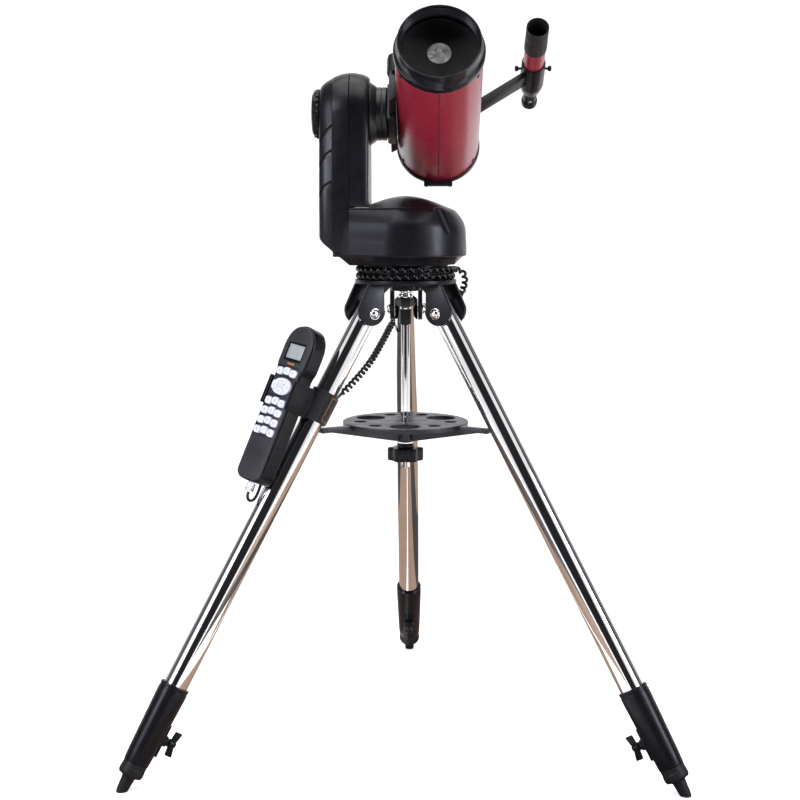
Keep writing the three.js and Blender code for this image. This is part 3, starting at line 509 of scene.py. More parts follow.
def plastic(name, dark, light, rough_low, rough_high, grain=900, depth=0.02, **values):
    """Moulded plastic: a faint cloud in the colour, uneven gloss and a fine spark-eroded grain."""
    gloss = (rough_low, rough_high)
    return surface(name, dark, light, gloss, (35, 3), (60, 5), (grain, 0.35, depth), **values)


def polished(name, dark, light, rough_low, rough_high, stretch=(1, 1, 0.02), scale=700, depth=0.004):
    """Plated or bare metal with fine lines along the piece and hand marks in its gloss."""
    finish = Finish(name, Metallic=1.0)
    lines = finish.noise(scale, 3, stretch)
    finish.paint(finish.colour(finish.noise(14, 4), (0.3, dark), (0.72, light)))
    finish.rough(finish.spread(finish.noise(45, 6), rough_low, rough_high, 0.35, 0.75))
    finish.bump(lines, 0.2, depth)
    return finish.material


def make_glass(name, tint, rough, index):
    light = tuple(min(1, c * 1.03) for c in tint)
    haze = (30, 4)
    gloss = (rough, rough + 0.02)
    return surface(name, tint, light, gloss, haze, haze, Transmission_Weight=1.0, IOR=index)


def make_mirror_coat():
    """Aluminium coating, clouded darker and lighter at random, with its gloss and relief following the same
    clouds.
    """
    finish = Finish("aluminised", Metallic=0.7)
    mottle = finish.noise(210, 6, roughness=0.65)
    finish.paint(finish.colour(
        mottle, (0.36, (0.035, 0.032, 0.03)), (0.5, (0.095, 0.09, 0.085)), (0.66, (0.21, 0.2, 0.19))
    ))
    finish.rough(finish.spread(mottle, 0.45, 0.28))
    finish.bump(mottle, 0.2, 0.02)
    return finish.material


def make_webbing():
    """Black nylon webbing: ribs across the strap and a twill over them."""
    finish = Finish("nylon_webbing", Sheen_Weight=0.25, Sheen_Roughness=0.4)
    ribs = finish.pattern(
        "ShaderNodeTexWave", Scale=520.0, Distortion=1.5, Detail=2.0, bands_direction="Z"
    )
    twill = finish.pattern(
        "ShaderNodeTexWave", Scale=420.0, Distortion=1.0, Detail=2.0, bands_direction="DIAGONAL"
    )
    finish.paint(finish.colour(ribs, (0.1, (0.006, 0.006, 0.007)), (0.9, (0.02, 0.02, 0.022))))
    finish.rough(finish.spread(finish.noise(200, 3), 0.8, 0.95))
    finish.bump(twill, 0.4, 0.08, finish.bump(ribs, 0.6, 0.15))
    return finish.material


def make_display():
    """Unlit liquid crystal panel with faint rows of empty character cells."""
    finish = Finish("display", Coat_Weight=1.0, Coat_Roughness=0.04, Specular_IOR_Level=0.4)
    cells = finish.pattern("ShaderNodeTexWave", Scale=160.0, bands_direction="Z")
    base = finish.colour(finish.noise(40, 3), (0.3, (0.3, 0.33, 0.32)), (0.7, (0.38, 0.41, 0.4)))
    row = finish.colour(cells, (0.2, (0.24, 0.265, 0.26)), (0.8, (0.35, 0.38, 0.37)))
    finish.paint(finish.mixed(finish.spread(finish.noise(70, 2), 0.1, 0.6), base, row))
    finish.rough(finish.spread(finish.noise(90, 3), 0.18, 0.3))
    return finish.material


def make_board():
    finish = Finish("circuit_board", Coat_Weight=0.4)
    tracks = finish.pattern("ShaderNodeTexBrick", Scale=160.0)
    finish.paint(finish.colour(tracks, (0.2, (0.01, 0.09, 0.035)), (0.8, (0.03, 0.2, 0.08))))
    finish.rough(finish.spread(finish.noise(120, 3), 0.35, 0.55))
    return finish.material


BLACK_PLASTIC = plastic("black_plastic", (0.0034, 0.0033, 0.0044), (0.006, 0.0058, 0.0078), 0.24, 0.34,
                        Specular_IOR_Level=0.22)
SOFT_BLACK = plastic("satin_black_plastic", (0.0034, 0.0033, 0.0047), (0.006, 0.0058, 0.0082), 0.26, 0.36,
                     grain=1300, depth=0.008, Specular_IOR_Level=0.24)
GLOSS_BLACK = plastic("gloss_black_enamel", (0.005, 0.005, 0.006), (0.008, 0.008, 0.010), 0.14, 0.24,
                      grain=260, depth=0.004, Specular_IOR_Level=0.35)
BLACK_METAL = plastic("black_anodised", (0.008, 0.008, 0.009), (0.013, 0.013, 0.015), 0.28, 0.4,
                      grain=1500, depth=0.01, Metallic=0.3)
MATT_BLACK = plastic("matt_black", (0.006, 0.006, 0.007), (0.011, 0.011, 0.012), 0.6, 0.75,
                     grain=1100, depth=0.03)
RUBBER = plastic("rubber", (0.0045, 0.0045, 0.005), (0.009, 0.009, 0.0095), 0.45, 0.6, grain=700, depth=0.03,
                 Specular_IOR_Level=0.3)
CORD_SKIN = plastic("cord_skin", (0.004, 0.004, 0.0045), (0.008, 0.008, 0.009), 0.16, 0.3,
                    grain=600, depth=0.01)
GREY_PLASTIC = plastic("grey_plastic", (0.015, 0.0138, 0.0165), (0.024, 0.022, 0.026), 0.4, 0.52,
                       grain=1400, depth=0.03)
TRAY_PLASTIC = plastic("tray_plastic", (0.012, 0.011, 0.0135), (0.021, 0.019, 0.024), 0.32, 0.44)
LABEL = plastic("amber_label", (0.32, 0.11, 0.03), (0.42, 0.16, 0.05), 0.35, 0.5, grain=1800, depth=0.01)
THREAD = plastic("orange_thread", (0.42, 0.12, 0.02), (0.6, 0.2, 0.04), 0.6, 0.8, grain=4000, depth=0.05)
CHROME = polished("chrome", (0.80, 0.79, 0.78), (0.93, 0.925, 0.92), 0.035, 0.1)
STEEL = polished("steel", (0.50, 0.50, 0.51), (0.68, 0.68, 0.69), 0.16, 0.34, (1, 1, 1), 900, 0.01)
BRASS = polished("brass", (0.62, 0.42, 0.14), (0.78, 0.55, 0.22), 0.2, 0.38, (1, 1, 1), 900, 0.01)
RED_PAINT = surface("deep_red_enamel", (0.178, 0.007, 0.019), (0.208, 0.0095, 0.0245), (0.26, 0.33),
                    (9, 2), (26, 3), Coat_Weight=0.6, Coat_Roughness=0.3, Coat_IOR=1.5,
                    Specular_IOR_Level=0.25)
GLASS = make_glass("coated_glass", (0.9, 0.92, 0.95), 0.0, 1.1)
CLEAR_PLASTIC = make_glass("clear_plastic", (0.93, 0.93, 0.96), 0.06, 1.46)
MIRROR = make_mirror_coat()
SILICONE = surface("key_silicone", (0.60, 0.60, 0.74), (0.72, 0.72, 0.84), (0.42, 0.6), (160, 4), (400, 3),
                   (1500, 0.2, 0.01), Subsurface_Weight=0.08, Subsurface_Scale=0.002, Coat_Weight=0.15)
FABRIC = make_webbing()
DISPLAY = make_display()
BOARD = make_board()

SLOT_FINISH = {
    "black_plastic": BLACK_PLASTIC, "soft_black": SOFT_BLACK, "black_metal": BLACK_METAL,
    "rubber": RUBBER, "chrome": CHROME, "steel": STEEL, "brass": BRASS, "red_paint": RED_PAINT,
    "glass": GLASS, "clear_plastic": CLEAR_PLASTIC, "mirror": MIRROR, "board": BOARD,
    "silicone": SILICONE, "grey_plastic": GREY_PLASTIC, "fabric": FABRIC,
}

# ---------------------------------------------------------------- pieces and nodes

record = frame["record"]
BODY_OF = {node: body for body, nodes in record["behaviour"]["bodies"].items() for node in nodes}
SLOT_OF = {part["node"]: part["material_slot"] for part in record["subparts"]}


def dress(piece, finish):
    piece.data.materials.clear()
    piece.data.materials.append(finish)
    return piece


def stands_for(piece, node, finish=None):
    """The piece takes the node's place and body, with the finish of its slot unless one is given."""
    dress(piece, finish or SLOT_FINISH[SLOT_OF[node]])
    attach(piece, BODY_OF[node])
    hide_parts(node)
    return piece


def part(node, name, shapes, place, finish=None, sharp=32):
    """Builds the piece that stands for the node."""
    return stands_for(build(name, shapes, place, sharp), node, finish)


def goes_with(piece, node, finish):
    """A smaller piece on the same body as the node, with its own finish."""
    dress(piece, finish)
    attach(piece, BODY_OF[node])
    return piece


def detail(node, name, shapes, place, finish, slot, sharp=32):
    """Builds a smaller piece that goes with the node."""
    return goes_with(build(name, shapes, place, sharp), node, finish)


# ---------------------------------------------------------------- curly cord

COIL_RADIUS = 4.5  # of the turns stored round the base
RUN_RADIUS = 5.2  # of the hanging stretch
CORD_RADIUS = 2
WRAP_RADIUS = 62.9
RING_RADIUS = 57.5
LOW_TURN = (ring_low.z / MM) + COIL_RADIUS
HIGH_TURN = (ring_high.z / MM) - COIL_RADIUS
WRAP_PITCH = 11.2
RUN_PITCH = 7.4
COIL_STEPS = 14  # points in one turn of the run
SPAN_STEPS = 10  # points between two of the route
RUN = [
    (70.5, 8, 653), (77, 11, 650), (80.5, 16, 640), (78, 23, 626), (68, 36, 612), (52, 60, 604),
    (30, 98, 598), (6, 114, 590), (-16, 98, 578), (-32, 62, 553), (-48, 24, 527), (-68, -3, 504),
    (-88.6, -21.8, 484.6),
]
TAIL = [
    (-32.6, -25.2, -111.9), (-25.5, -21.5, -122), (-18, -17, -133), (-14.9, -15.2, -146),
    (-14.2, -15.8, -162), (-12, -17.8, -176), (-4, -21, -192), (8, -20.5, -207), (15, -16.5, -223),
    (18, -13, -240), (18.2, -12.8, -256), (17.2, -11, -271), (17.4, -8, -283), (21, -4.5, -290.5),
    (27.5, -1.5, -292.5), (32.6, 0, -288.5), (34.2, 0, -282.2),
]


def clamped(share):
    return min(max(share, 0), 1)


def eased(share):
    share = clamped(share)
    return share * share * (3 - 2 * share)


def length_of(path):
    return sum((b - a).length for a, b in zip(path, path[1:]))


def wrap_route():
    """Two turns round the base ring, the second on the first, from the ring out to the run."""
    start, end, rise, leave = 40, 2 * 360 - 20, 30, 26  # degrees
    points = [Vector((*polar(RING_RADIUS, math.radians(start)), LOW_TURN))]
    for degrees in range(start + 4, end, 4):
        climb = eased((degrees - (360 + start - rise)) / rise)
        away = clamped((degrees - (end - leave)) / leave)
        spot = polar(WRAP_RADIUS + 2.5 * away * away, math.radians(degrees))
        points.append(Vector((*spot, LOW_TURN + (HIGH_TURN - LOW_TURN) * climb)))
    return points


def even_steps(path, step):
    """The same path with points one step apart."""
    result, left = [path[0].copy()], step
    for a, b in zip(path, path[1:]):
        length = (b - a).length
        done = 0.0
        while length - done >= left:
            done += left
            result.append(a.lerp(b, done / length))
            left = step
        left -= length - done
    return result


def make_cord():
    """The cord's middle line: the coils of the wrap and of the run, then the plain tail."""
    wrap = wrap_route()
    leg_to_base = BASE.inverted() @ LEG["left"]
    loose = [Vector(p) for p in RUN] + [leg_to_base @ Vector(p) for p in TAIL[1:]]
    middle = flowing(wrap + loose, SPAN_STEPS)
    wrap_length = length_of(middle[:len(wrap) * SPAN_STEPS + 1])
    curly_length = length_of(middle[:(len(wrap) + len(RUN) - 1) * SPAN_STEPS + 1])
    step = RUN_PITCH / COIL_STEPS
    path = even_steps(middle, step)
    line, a = [], 0.0
    for i, (point, (side, up)) in enumerate(zip(path, frames_along(path))):
        along = i * step
        swell = eased(min(along / 14, (curly_length - along) / 12))
        loose_by = clamped((along - wrap_length) / 40)
        reach = COIL_RADIUS - CORD_RADIUS + (RUN_RADIUS - COIL_RADIUS) * loose_by
        a += 2 * math.pi * step / (WRAP_PITCH + (RUN_PITCH - WRAP_PITCH) * loose_by)
        line.append(point + (side * math.cos(a) + up * math.sin(a)) * reach * swell)
    straight = int(curly_length / step) + 10
    line = line[:straight] + line[straight::3]
    if (line[-1] - path[-1]).length > 1:
        line.append(path[-1])
    return line


cord_line = make_cord()
cord = build("handset_cord", [tube(cord_line, CORD_RADIUS, 10)], BASE, 60)
dress(cord, CORD_SKIN)
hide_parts("cord_wrap", "curly_cord", "cord_tail")
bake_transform(cord)

# ---------------------------------------------------------------- tripod head

HEAD_TOP = 641
HEAD_BORE = 5.3
PLATE_BOTTOM = 634
EAR_INNER = 16.4
EAR_OUTER = 22.4
EAR_CENTRE = (62.4, 600.8)
EAR_RADIUS = 19.6


def ear_outline():
    top = PLATE_BOTTOM + 2
    lobe = arc(EAR_RADIUS, math.pi, 2 * math.pi + 0.28, 32, *EAR_CENTRE)
    return [(66.5, top), (44, top), (44, 602), *lobe]


def upright(shape, side, azimuth):
    """A plate drawn as (outward, height) stood up in a leg's plane, from side along the width."""
    stand = turn(azimuth, "Z") @ shift(0, side, 0) @ turn(90, "X")
    return moved(shape, stand)


def make_head():
    bore, bottom = HEAD_BORE, PLATE_BOTTOM
    shapes = [
        ring([(bore, bottom), (66, bottom), (68.5, 636), (68.5, HEAD_TOP), (bore, HEAD_TOP)], 0.7, 128),
        ring([(bore, 625.5), (19.5, 625.5), (21, 627), (21, bottom + 2), (bore, bottom + 2)], 0.6),
    ]
    width = EAR_OUTER - EAR_INNER
    ear = plate([ear_outline()], 0, width, 1.0, 3)
    web = plate([[(30, bottom + 1), (46, 622), (46, bottom + 1)]], 1, width - 1, 0.6)
    for azimuth in LEG_AZIMUTHS.values():
        for side in (-EAR_INNER, EAR_OUTER):
            shapes += [upright(ear, side, azimuth), upright(web, side, azimuth)]
    part("tripod_head", "tripod_head_casting", shapes, BASE, sharp=40)


def make_hinge_bolt():
    acorn = [(0, 5.2), (2.6, 4.95), (5.0, 3.9), (6.3, 2.4), (6.6, 1.3), (7.5, 1.2), (7.5, 0), (3, 0)]
    half = [(r, EAR_OUTER + 0.3 + rise) for r, rise in acorn]
    return moved(turned(mirrored(half), 0.25, 64), turn(-90, "X"))


def make_mount_bolt():
    """The black nut with its sleeve, and the bright screw with its collar and washer."""
    black = [
        plate([circle(12.2, 6)], 604.4, 615.2, 1.1, 3),
        turned([(0, 580.3), (7.4, 580.3), (8.2, 582), (8.2, 600.4), (0, 600.4)], 0.4, 64),
    ]
    bright = [
        turned([(0, 615.25), (9.0, 615.25), (9.8, 616.6), (9.8, 619.6), (8.4, 620.6), (8.4, 623.4),
                (9.4, 624.2), (9.4, 625.2), (0, 625.2)], 0.35, 64),
        rod(7.4, 600.45, 604.35, 0.4, 64), rod(4.8, 625, 655),
    ]
    part("mount_bolt", "mounting_nut", black, BASE, BLACK_METAL)
    detail("mount_bolt", "mounting_screw", bright, BASE, CHROME, "steel")


make_head()
for side in LEG_AZIMUTHS:
    part(f"hinge_bolt_{side}", f"acorn_bolt_{side}", [make_hinge_bolt()], LEG[side], CHROME)
make_mount_bolt()
part("centre_rod", "column_rod", [rod(6, 383, 580, 1.2, 64)], BASE)

# ---------------------------------------------------------------- tray

TRAY_TOP = 447.8
TRAY_BOTTOM = 443.3
TRAY_RADIUS = 85.6
TRAY_REACH = 129
BIG_HOLE = 20
SMALL_HOLE = 8.5
HUB_BOTTOM = 419.5


def make_tray():
    """A pierced disc with a raised rim round each hole, on three ribbed arms."""
    holes, rims = [], []
    rim_top = TRAY_TOP - 0.4
    for azimuth in LEG_AZIMUTHS.values():
        a = math.radians(azimuth)
        between = a + math.pi / 3
        x, y = polar(56, between)
        holes.append(circle(BIG_HOLE, 64, x, y))
        rim = pipe(BIG_HOLE + 1.8, BIG_HOLE, TRAY_BOTTOM - 1.6, rim_top, 0.5, 64)
        rims.append(moved(rim, shift(x, y, 0)))
        for side in (-0.36, 0.36):
            x, y = polar(62, a + side)
            holes.append(circle(SMALL_HOLE, 40, x, y))
            rim = pipe(SMALL_HOLE + 1.4, SMALL_HOLE, TRAY_BOTTOM - 1.2, rim_top, 0.4, 40)
            rims.append(moved(rim, shift(x, y, 0)))
    top = TRAY_BOTTOM + 1  # of what hangs under the disc
    hub = [(6.3, HUB_BOTTOM), (10.5, HUB_BOTTOM), (10.5, 440), (12.5, top), (6.3, top)]
    shapes = [
        plate([circle(TRAY_RADIUS, 160), *holes, circle(6.4, 32)], TRAY_BOTTOM, TRAY_TOP, 0.9, 3),
        pipe(TRAY_RADIUS - 0.2, TRAY_RADIUS - 2.4, TRAY_BOTTOM - 1.5, top, 0.4, 160), ring(hub, 0.5, 64),
    ]
    tip = TRAY_REACH
    arm = mirrored([(12, -6), (tip - 8, -4.5), (tip, -7.5)])
    rib = [(9, HUB_BOTTOM + 1), (14, HUB_BOTTOM + 1), (tip - 12, TRAY_BOTTOM - 3), (tip - 12, top), (9, top)]
    arm_plate = plate([corner_rounded(arm, 2.5)], TRAY_BOTTOM - 3.4, TRAY_TOP - 1.2, 0.7, 2)
    rib_plate = plate([rib], -2, 2, 0.6, 2)
    for azimuth in LEG_AZIMUTHS.values():
        shapes.append(moved(arm_plate, turn(azimuth, "Z")))
        shapes.append(upright(rib_plate, 0, azimuth))
    part("accessory_tray", "pierced_tray", shapes + rims, BASE, TRAY_PLASTIC)


def make_tray_knob():
    return [
        plate([lobed(24.5, 4.5, 6)], 393, 411, 2.4, 4),
        turned([(0, 410), (13, 410), (11.5, 412), (11.5, 417), (0, 417)], 0.6, 64),
    ]


make_tray()
part("tray_knob", "six_lobed_knob", make_tray_knob(), BASE)
detail("tray_knob", "tray_washer", [pipe(10.5, 6.3, 417.05, 419.2, 0.3, 64)], BASE, CHROME, "chrome")

# ---------------------------------------------------------------- legs

LEG_RADIUS = 15.875
SLIDER_RADIUS = 14.3
SLEEVE_TOP = 546
SLEEVE_END = 654
SCREW_DOWN = 616


def make_sleeve():
    shapes = [ring([
        (14.7, -SLEEVE_END), (16.4, -SLEEVE_END), (17.2, -640), (19.4, -560), (19.4, -553), (19.0, -552),
        (19.0, -549.6), (19.4, -548.6), (19.4, -SLEEVE_TOP), (16.2, -SLEEVE_TOP), (16.2, -600.3),
        (14.7, -600.3),
    ], 0.5, 96)]
    boss = turned([(0, 14.9), (9.4, 14.9), (7.4, 18), (7.2, 24.5), (3.5, 24.5), (3.5, 16), (0, 16)], 0.5, 48)
    shapes.append(moved(boss, shift(0, 0, -SCREW_DOWN) @ turn(-90, "Y")))
    for y in (-6.4, 6.4):
        shapes.append(block(-19.0, -14.9, y - 1.0, y + 1.0, -638, -SCREW_DOWN + 22, 0.5))
    return shapes


def make_foot(side):
    """The collar, the neck and a tip cut off level with the floor."""
    profile = [
        (0, -702), (2.6, -701.4), (4.6, -699.4), (6.2, -696.4), (7.1, -692.5), (7.5, -688), (8.7, -674),
        (11.5, -672.4), (15.2, -671.4), (16.4, -668), (16.3, -662), (15.8, -661), (15.8, -657.6),
        (16.0, -654.4), (14.75, -654.4), (14.75, -668.3), (12.6, -668.3), (12.6, -640), (0, -640),
    ]
    foot = build(f"rubber_foot_{side}", [lathe(rounded(profile, 0.5), 96)], LEG[side])
    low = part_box(f"foot_{side}")[0].z / MM
    under = shift(*(LEG[side] @ Vector((0, 0, -700))).xy, 0) @ Matrix.Scale(MM, 4)
    floor = tool(block(-400, 400, -400, 400, low - 90, low, 0), under)
    return combine(foot, "DIFFERENCE", floor)


def make_wing_screw():
    wing = [(2.8, 28.6), (5.2, 30.4), (15.6, 31.4), (16.4, 32.2), (16.4, 40.2), (15.6, 41), (4.8, 38.4),
            (2.8, 37.2)]
    blade = wing + [(-x, z) for x, z in reversed(wing)]
    wings = moved(plate([blade], -2.2, 2.2, 0.9, 3), turn(90, "X"))
    hub = turned([(0, 28), (5.6, 28), (5.6, 35.4), (4.4, 38), (0, 39)], 0.8, 48)
    grooves = [(0, 14.9), (3, 14.9)]
    for i in range(10):
        grooves += [(3.0, 15.6 + i * 1.3), (2.55, 16.25 + i * 1.3)]
    grooves += [(3, 28.6), (0, 28.6)]
    shank = lathe(grooves, 32)
    lay = shift(0, 0, -SCREW_DOWN) @ turn(-90, "Y")
    return [moved(shape, lay) for shape in (shank, hub, wings)]


for side in LEG_AZIMUTHS:
    outer = pipe(LEG_RADIUS, LEG_RADIUS - 1.2, -600, 14, 0.4, 128)
    inner = pipe(SLIDER_RADIUS, SLIDER_RADIUS - 1.4, -668, -240, 0.4, 128)
    part(f"leg_tube_{side}", f"chromed_tube_{side}", [outer], LEG[side])
    part(f"inner_tube_{side}", f"sliding_tube_{side}", [inner], LEG[side])
    part(f"leg_sleeve_{side}", f"tapered_sleeve_{side}", make_sleeve(), LEG[side])
    part(f"wing_screw_{side}", f"thumb_screw_{side}", make_wing_screw(), LEG[side])
    stands_for(make_foot(side), f"foot_{side}")

# ---------------------------------------------------------------- azimuth base

PAN_BOTTOM = 661.2
BASE_SEAM = 675
BASE_RADIUS = 82
ARM_HALF_DEPTH = 57
ARM_SEAM = -73.4
ARM_BLOCK_TOP = 736.7
BASE_WALL = 2.6
# (radius, height) of the dome, from its seam to its top
HOUSING = [(82, 675), (81.4, 694), (79.2, 714), (68, 731), (56, 737), (32, 746.4), (14, 750.8), (0, 752.2)]


def base_plan(inset, left, half_depth, corner=5):
    """A circle whose tangents run out to the corners of the arm's foot."""
    radius = BASE_RADIUS - inset
    start = math.pi - math.atan2(half_depth, -left) - math.acos(radius / math.hypot(left, half_depth))
    return [
        *arc(radius, -start, start, 96),
        *arc(corner, math.pi / 2, math.pi, 6, left + corner, half_depth - corner),
        *arc(corner, math.pi, math.pi * 3 / 2, 6, left + corner, corner - half_depth),
    ]


def make_pan():
    rows = [(17, -72, 50, PAN_BOTTOM), (15.4, -73.6, 51.6, PAN_BOTTOM), (14.6, -74.6, 52.4, 662.2),
            (4.6, -85.6, 56, 671.6), (0.9, -89.4, 56.2, 672.6), (0.6, -90, 56.4, 673.2),
            (0.6, -90, 56.4, 674.2), (1.2, -89.4, 55.8, 674.4)]
    sections = [(base_plan(inset, left, depth), z) for inset, left, depth, z in rows]
    pan = build("turntable_pan", [loft(sections)], BASE)
    hole = tool(rod(20.6, 640, 700, 0, 96), BASE)
    return combine(pan, "DIFFERENCE", hole)


def dome_curve(grow=0.0):
    """Smooth dome heights through the housing's rows."""
    rows = catmull([(r + grow if r else 0, z + grow) for r, z in HOUSING], 6)
    return [(max(r, 0), z) for r, z in rows]


def make_housing():
    curve = dome_curve()
    skin = build("base_dome", [lathe([(0, BASE_SEAM), (81.2, BASE_SEAM), *curve], 160)], BASE)
    rows = [(BASE_RADIUS - r, z) for r, z in curve if z < ARM_BLOCK_TOP - 1.5]
    last, top = rows[-1][0], ARM_BLOCK_TOP
    rows = [(0.8, BASE_SEAM), *rows, (last + 1.5, top - 0.6), (last + 3.5, top)]
    sides = [(base_plan(inset, -90, ARM_HALF_DEPTH - max(z - top + 0.6, 0)), z) for inset, z in rows]
    combine(skin, "UNION", tool(loft(sides), BASE))
    trim = tool(block(-120, ARM_SEAM + 0.3, -100, 100, 600, 800, 0), BASE)
    hollow = [(0, 670), (BASE_RADIUS - BASE_WALL, 670)]
    hollow += [(max(r - BASE_WALL, 0), z - BASE_WALL) for r, z in curve if z > BASE_SEAM + BASE_WALL]
    room = tool(lathe(hollow, 160), BASE)
    depth = ARM_HALF_DEPTH - BASE_WALL
    inner = [(base_plan(inset + BASE_WALL, -95, depth), z - BASE_WALL) for inset, z in rows]
    well = tool(loft(inner), BASE)
    notch = BASE @ turn(-47, "Z") @ shift(78.6, 0, 725.8) @ turn(146.6, "Y")
    for hollowed in (room, well):
        combine(hollowed, "DIFFERENCE", tool(rod(13.4, -24, 38, 0, 96), notch))
    scallop = tool(rod(11, -22, 36, 0, 96), notch)
    combine(skin, "DIFFERENCE", trim, room, well, scallop)
    lip = tool(block(-72.4, -51, -53.5, 53.5, top - 1.5, top + 1.6, 0.3), BASE)
    edge = tool(block(ARM_SEAM + 0.6, -48.3, -56.4, 56.4, top - 1.4, top + 0.5, 0.15), BASE)
    return combine(skin, "UNION", lip, edge)


part("base_ring", "fixed_base_ring", [turned([
    (0, HEAD_TOP + 0.3), (RING_RADIUS, HEAD_TOP + 0.3), (RING_RADIUS, PAN_BOTTOM - 1), (20, PAN_BOTTOM - 1),
    (20, 674.2), (14, 674.2), (14, 684), (0, 684),
], 0.5, 128)], BASE)
stands_for(make_pan(), "base_pan")
stands_for(make_housing(), "base_housing")

# ---------------------------------------------------------------- arm

ARM_INNER_FACE = -47.7
ARM_CORNER = 3
SHAFT_HOLE = 9
COVER_WALL = 2.5


def arm_outline(radius, half_depth, bottom):
    """The arm from the side: a half round about the altitude axis on straight sides, as (y, z)."""
    waist, corner = ALT_Z - 110, ARM_CORNER
    return [
        *arc(radius, 0, math.pi, 48, 0, ALT_Z), (-half_depth, waist),
        *arc(corner, math.pi, math.pi * 3 / 2, 5, corner - half_depth, bottom + corner),
        *arc(corner, math.pi * 3 / 2, math.pi * 2, 5, half_depth - corner, bottom + corner),
        (half_depth, waist),
    ]


def arm_loft(rows, name):
    sections = [(arm_outline(radius, depth, bottom), x) for x, radius, depth, bottom in rows]
    vertices, faces = loft(sections)
    return build(name, [([(z, x, y) for x, y, z in vertices], faces)], BASE, 26)


FLUTE_TOPS = (858, 822, 776)  # where the three slanting flutes start at the front crease
FLUTE_DEPTH = 1.6
# (x, radius of the top, half depth, bottom) of the outer cover
OUTER_CROWN = [(-95.2, 47.6, 55.2, 679.2), (-99.5, 45.2, 54.2, 683), (-104, 42.6, 52.8, 686.6),
               (-108.4, 39.4, 50.6, 690.6), (-111.4, 36.2, 47.8, 694), (-113, 33, 44, 697)]
OUTER_FLANK = [(ARM_SEAM - 0.3, 53.2, 56.6, 675.4), (ARM_SEAM - 0.7, 53.6, 57, 675), (-84, 52.2, 57, 675.2),
               (-94.6, 48.4, 56.3, 677.6)]


def make_outer_cover():
    cover = arm_loft(OUTER_FLANK + catmull(OUTER_CROWN, 5), "arm_outer_shell")
    w = COVER_WALL
    inside = arm_loft([
        (-73, 53.6 - w, 57 - w, 677.5), (-88, 49.6 - w, 56.4 - w, 678), (-97, 45.3 - w, 54.4 - w, 685.5),
        (-106, 39.3 - w, 50.8 - w, 693), (-110.5, 33 - w, 44 - w, 699),
    ], "tool")
    shaft = tool(rod(SHAFT_HOLE, 60, 130, 0, 64), ALT_AXIS)
    combine(cover, "DIFFERENCE", inside, shaft)
    slots = []
    for top in FLUTE_TOPS:
        flute = block(-125, -94.5, -2.1, 2.1, -30, 30, 1.2)
        slots.append(moved(flute, shift(0, -44, top - 26) @ turn(28, "X")))
    flutes = build("tool", slots, BASE)
    core = [
        (x + FLUTE_DEPTH, radius - FLUTE_DEPTH, depth - FLUTE_DEPTH, bottom)
        for x, radius, depth, bottom in OUTER_FLANK + OUTER_CROWN
    ]
    combine(flutes, "DIFFERENCE", arm_loft(core, "tool"))
    return combine(cover, "DIFFERENCE", flutes)


def make_inner_cover():
    bottom = ARM_BLOCK_TOP + 0.3
    rows = [(ARM_SEAM + 0.3, 53.2, 56.6), (ARM_SEAM + 0.7, 53.6, 57), (-66, 53.4, 57), (-56, 51.2, 56.4),
            (-52, 49.6, 55.7), (-49.6, 48.3, 54.7), (-48.4, 47.3, 53.8), (ARM_INNER_FACE, 46.4, 52.9)]
    cover = arm_loft([(x, r, d, bottom) for x, r, d in rows], "arm_inner_shell")
    w = COVER_WALL
    inside = arm_loft([
        (-79, 53.6 - w, 57 - w, 700), (-66, 53.4 - w, 57 - w, 700), (-54.5, 50.2 - w, 56 - w, 700),
        (ARM_INNER_FACE - w, 46.6 - w, 53 - w, 700),
    ], "tool")
    shaft = tool(rod(SHAFT_HOLE, 30, 90, 0, 64), ALT_AXIS)
    over = [(r, z) for r, z in dome_curve(0.3) if z > 701]
    dome = tool(lathe([(0, 700), (82.3, 700), *over], 160), BASE)
    return combine(cover, "DIFFERENCE", inside, shaft, dome)


def make_clutch_knob():
    shapes = [
        plate([lobed(32.5, 1.6, 24, 192)], 114, 118.6, 0.7, 3),
        plate([lobed(31.2, 1.3, 12, 192)], 118.2, 121.6, 0.7, 3),
        turned([(0, 114), (28, 114), (28, 121.8), (26, 123.6), (24.4, 123.8), (23.6, 123.1), (21, 123.2),
                (20, 124.3), (0, 125)], 0.5, 128),
    ]
    part("clutch_knob", "clutch_wheel", shapes, ALT_AXIS, sharp=40)


stands_for(make_outer_cover(), "arm_outer_cover")
stands_for(make_inner_cover(), "arm_inner_cover")
make_clutch_knob()
part("altitude_hub", "hub_drum", [turned([
    (0, 24.3), (33.6, 24.3), (35, 25.8), (35, 30.4), (34.4, 30.9), (34.4, 31.7), (35, 32.2), (35, 38),
    (36, 39), (40.4, 45.2), (41, 46.2), (41, 47.1), (0, 47.1),
], 0.5, 128)], ALT_AXIS)

# ---------------------------------------------------------------- optical tube

TUBE_RADIUS = 55.5
TUBE_INNER = 54
REAR_RING = -79.9
REAR_PLATE = -94
SADDLE_BACK = -24 - TUBE_AXIS_X


def make_tube():
    """Rolled tube with its seam along the underside, red outside and black inside."""
    shell = build("red_tube", [pipe(TUBE_RADIUS, TUBE_INNER, -84, 148.2, 0.25, 192)], SCOPE, 50)
    seam = tool(block(-0.42, 0.42, -57, -54.7, -82, 139.5, 0), SCOPE)
    combine(shell, "DIFFERENCE", seam)
    stands_for(shell, "optical_tube", RED_PAINT)
    shell.data.materials.append(MATT_BLACK)
    inverse = SCOPE.inverted()
    for face in shell.data.polygons:
        if (inverse @ face.center).xy.length < TUBE_INNER + 0.2:
            face.material_index = 1
    # Painted shade: a black strip laid in the seam groove, standing in for the shade of the narrow groove.
    seam_shade_strip = block(-0.38, 0.38, -55.2, -54.9, -80, 139, 0.05, 1)
    detail("optical_tube", "tube_seam_shade", [seam_shade_strip], SCOPE, MATT_BLACK, "black_metal")


